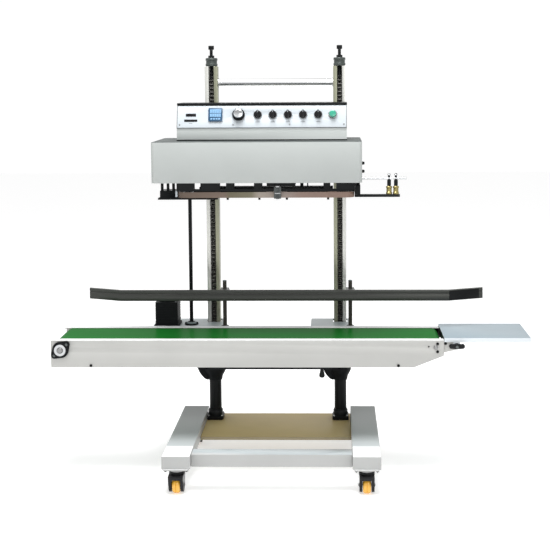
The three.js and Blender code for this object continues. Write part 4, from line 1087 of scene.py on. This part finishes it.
def build_selectors():
    """Five selector switches, each a round skirt with a finger grip and a white mark, and all the bezels."""
    face = PANEL_FACE
    base = face + 0.5
    rings = bmesh.new()
    for index in range(1, 6):
        place = control_place(f"selector_{index}_turn")
        add_lathe(rings, [(13.8, face), (13.8, face + 1.6), (13, face + 2.6), (12, face + 2.6),
                          (11.9, face + 0.4)], place, 40)
        switch = f"selector_switch_{index}"
        bm = bmesh.new()
        add_lathe(bm, [(0, base), (11.6, base), (11.6, base + 5), (10.6, base + 6.2), (0, base + 6.2)],
                  place, 40)
        add_prism(bm, rounded(-3.6, 3.6, -11.4, 11.4, 3.2), base + 5, base + 16, place, bevel=1)
        piece(f"selector_grip_{index}", bm, BLACK_PLASTIC, f"{switch}_body", (switch,))
        bm = bmesh.new()
        add_box(bm, (-0.5, 3, base + 15.6), (0.5, 9, base + 16.3), 0.15, place)
        piece(f"selector_mark_{index}", bm, PANEL_WHITE, f"{switch}_body")
    add_lathe(rings, [(14, face), (14, face + 2.4), (12.8, face + 3.6), (11.7, face + 3.6),
                      (11.5, face + 0.5)], panel_place(middle("start_button").x), 44)
    piece("control_bezels", rings, STEEL, "head")


def build_button():
    """Green lens of the start button."""
    base = PANEL_FACE + 3.9
    bm = bmesh.new()
    add_lathe(bm, [(0, base), (10.8, base), (10.9, base + 6), (10, base + 7.8), (7.6, base + 8.5),
                   (0, base + 8.1)], panel_place(middle("start_button").x), 44)
    piece("button_lens", bm, GREEN_LENS, "start_button_body", ("start_button",))


def build_meter():
    """Panel meter: a blue frame round a pale display with plain bars and a row of keys."""
    place = panel_place(middle("display_unit").x)
    face = PANEL_FACE
    half = 21.5
    bm = bmesh.new()
    add_prism(bm, rounded(-half, half, -half, half, 2.5), face + 0.2, face + 4.4, place, bevel=0.8)
    piece("meter_frame", bm, METER_FRAME, "head", ("display_unit",))
    bm = bmesh.new()
    for bottom, top in ((4.5, 16.5), (-7.5, 2.5)):
        add_box(bm, (-16.5, bottom, face + 4), (16.5, top, face + 4.9), 0.3, place)
    for key in range(4):
        x = -15 + key * 8
        add_box(bm, (x, -16.5, face + 4), (x + 6, -11.5, face + 5.2), 0.4, place)
    piece("meter_window", bm, METER_LCD, "head")
    bm = bmesh.new()
    for row in (10.5, -2.5):
        for digit in range(4):
            x = -12 + digit * 7
            for bar in (-3, 0, 3):
                y = row + bar
                add_box(bm, (x, y - 0.4, face + 4.7), (x + 4.4, y + 0.4, face + 5.1), 0.1, place)
    piece("meter_bars", bm, METER_FRAME, "head")


def build_panel_marks():
    """Counter windows, plain ticks round the controls, screws, and the thin seam round the panel."""
    low, high = box("control_panel")
    left = low.x
    face = PANEL_FACE
    counter = panel_place(left + 42)
    bm = bmesh.new()
    add_box(bm, (-15.5, -4.5, face - 0.3), (15.5, 4.5, face + 1.6), 0.8, counter)
    add_box(bm, (-20, -21.6, face - 0.3), (20, -14.3, face + 1.2), 0.8, counter)
    piece("counter_windows", bm, BLACK_PLASTIC, "head")
    print_low, print_high = face - 0.2, face + 0.15
    bm = bmesh.new()
    for joint in ["speed_knob_turn"] + [f"selector_{index}_turn" for index in range(1, 6)]:
        place = control_place(joint)
        wide = joint == "speed_knob_turn"
        radius = 22.5 if wide else 15.5
        for angle in range(-135, 136, 27) if wide else (-45, 45):
            turn = place @ Matrix.Rotation(math.radians(angle), 4, "Z")
            add_box(bm, (-0.35, radius, print_low), (0.35, radius + 2.4, print_high), 0, turn)
        add_box(bm, (-7, -23.5, print_low), (7, -22.3, print_high), 0, place)
    add_box(bm, (-5, -27.5, print_low), (5, -26.3, print_high), 0, counter)
    piece("panel_ticks", bm, PRINT_GREY, "head")
    normal = JOINTS["speed_knob_turn"]["axis"]
    bm = bmesh.new()
    for x in (left + 8, left + 172, left + 345, high.x - 8):
        add_screw(bm, panel_place(x) @ Vector((0, -31, face)), normal, 2.6)
    piece("panel_screws", bm, STEEL, "head")
    place = panel_place((low.x + high.x) / 2)
    half = (high.x - low.x) / 2
    lean = math.radians(20)
    foot = -(high.z - low.z) / math.cos(lean) * 0.59
    bm = bmesh.new()
    add_box(bm, (-half, foot, -1), (half, foot + 1.6, face + 0.4), 0.2, place)
    for x in (-half, half):
        add_box(bm, (x - 0.8, foot, -1), (x + 0.8, foot + 70, face + 0.4), 0.2, place)
    piece("panel_seam", bm, PRINT_GREY, "head")


def build_box_trim():
    """Black cap over the box, a black line at its foot, and back screws and vents."""
    low, high = box("control_box")
    panel = box("control_panel")
    bm = bmesh.new()
    front = panel[1].y - 3.0
    add_box(bm, (low.x - 0.8, front, high.z - 7), (high.x + 0.8, high.y + 0.8, high.z + 0.8), 1.2)
    add_box(bm, (low.x - 0.6, low.y - 0.9, low.z), (high.x + 0.6, low.y + 6, low.z + 3.4), 0.5)
    piece("box_cap", bm, BLACK_PAINT, "head")
    bm = bmesh.new()
    for x in (low.x + 14, high.x - 14):
        for z in (low.z + 14, high.z - 22):
            add_screw(bm, (x, high.y, z), Y_AXIS, 3.2)
    for row in range(5):
        z = low.z + 40 + row * 9
        add_box(bm, (low.x + 60, high.y - 0.5, z), (low.x + 180, high.y + 1.8, z + 3.5), 0.8)
    piece("box_back_fittings", bm, BLACK_PAINT, "head")


def build_controls():
    """Control box, its panel and everything on them."""
    dress("control_box", BOX_PAINT, 1.0)
    dress("control_panel", PANEL_WHITE, 0.5)
    dress("power_inlet", BLACK_PLASTIC, 0.5)
    build_knob()
    build_selectors()
    build_button()
    build_meter()
    build_panel_marks()
    build_box_trim()
    low, high = box("power_inlet")
    centre = (low + high) / 2
    bm = bmesh.new()
    for dx, dz in ((-5, -2), (5, -2), (0, 3)):
        x = centre.x + dx
        z = centre.z + dz
        add_box(bm, (x - 1, high.y - 6, z - 2), (x + 1, high.y - 0.8, z + 2), 0.3)
    piece("inlet_pins", bm, STEEL, "head")


# ------------------------------------------------------------------ studio


def build_studio():
    """Pale floor, soft surroundings brightest near the horizon, a high key light and a front fill."""
    floor_mesh = bpy.data.meshes.new("floor")
    size = 12
    corners = [(-size, -size, 0), (size, -size, 0), (size, size, 0), (-size, size, 0)]
    floor_mesh.from_pydata(corners, [], [(0, 1, 2, 3)])
    floor = bpy.data.objects.new("floor", floor_mesh)
    bpy.context.scene.collection.objects.link(floor)
    paper = finish("studio_floor", (0.94, 0.94, 0.94), 0.9, patches=0.005, specular=0.0)
    shader_node = paper.node_tree.nodes["Principled BSDF"]
    shader_node.inputs["Emission Color"].default_value = (1, 1, 1, 1)
    shader_node.inputs["Emission Strength"].default_value = 0.42
    floor_mesh.materials.append(paper)

    world = bpy.data.worlds.new("studio")
    world.use_nodes = True
    bpy.context.scene.world = world
    tree = world.node_tree
    background = tree.nodes["Background"]
    background.inputs["Color"].default_value = (1, 1, 1, 1)
    place = tree.nodes.new("ShaderNodeTexCoord")
    split = tree.nodes.new("ShaderNodeSeparateXYZ")
    fall = tree.nodes.new("ShaderNodeMapRange")
    for name, value in (("From Min", 0.25), ("From Max", 0.7), ("To Min", 1.02), ("To Max", 0.45)):
        fall.inputs[name].default_value = value
    tree.links.new(place.outputs["Generated"], split.inputs["Vector"])
    tree.links.new(split.outputs["Z"], fall.inputs["Value"])
    tree.links.new(fall.outputs["Result"], background.inputs["Strength"])

    for name, place, aim, size, power in (("key_light", (-0.15, -0.55, 3.2), (0, 0, 0.4), 1.3, 95),
            ("fill_light", (1.2, -4.2, 2.4), (0, 0, 0.6), 2.4, 40)):
        data = bpy.data.lights.new(name, "AREA")
        data.shape = "SQUARE"
        data.size = size
        data.energy = power
        light = bpy.data.objects.new(name, data)
        light.location = place
        light.rotation_euler = (Vector(aim) - Vector(place)).to_track_quat("-Z", "Y").to_euler()
        bpy.context.scene.collection.objects.link(light)
    bpy.context.scene.view_settings.view_transform = "Standard"


def build_camera():
    """A camera a little right of the machine's middle, at the height of its control panel."""
    data = bpy.data.cameras.new("camera")
    data.lens = 74.97
    data.sensor_width = 36
    data.shift_x = -0.06
    data.shift_y = -0.17
    camera = bpy.data.objects.new("camera", data)
    yaw = Matrix.Rotation(math.radians(1.32), 4, "Z")
    pitch = Matrix.Rotation(math.pi / 2 - math.radians(4.88), 4, "X")
    roll = Matrix.Rotation(math.radians(-0.31), 4, "Z")
    camera.rotation_mode = "QUATERNION"
    camera.matrix_world = Matrix.Translation((0.1365, -3.525, 1.2006)) @ yaw @ pitch @ roll
    bpy.context.scene.collection.objects.link(camera)
    bpy.context.scene.camera = camera


build_camera()
build_studio()
build_base()
build_columns()
build_castors()
build_conveyor()
build_head()
build_controls()

bpy.context.view_layer.update()
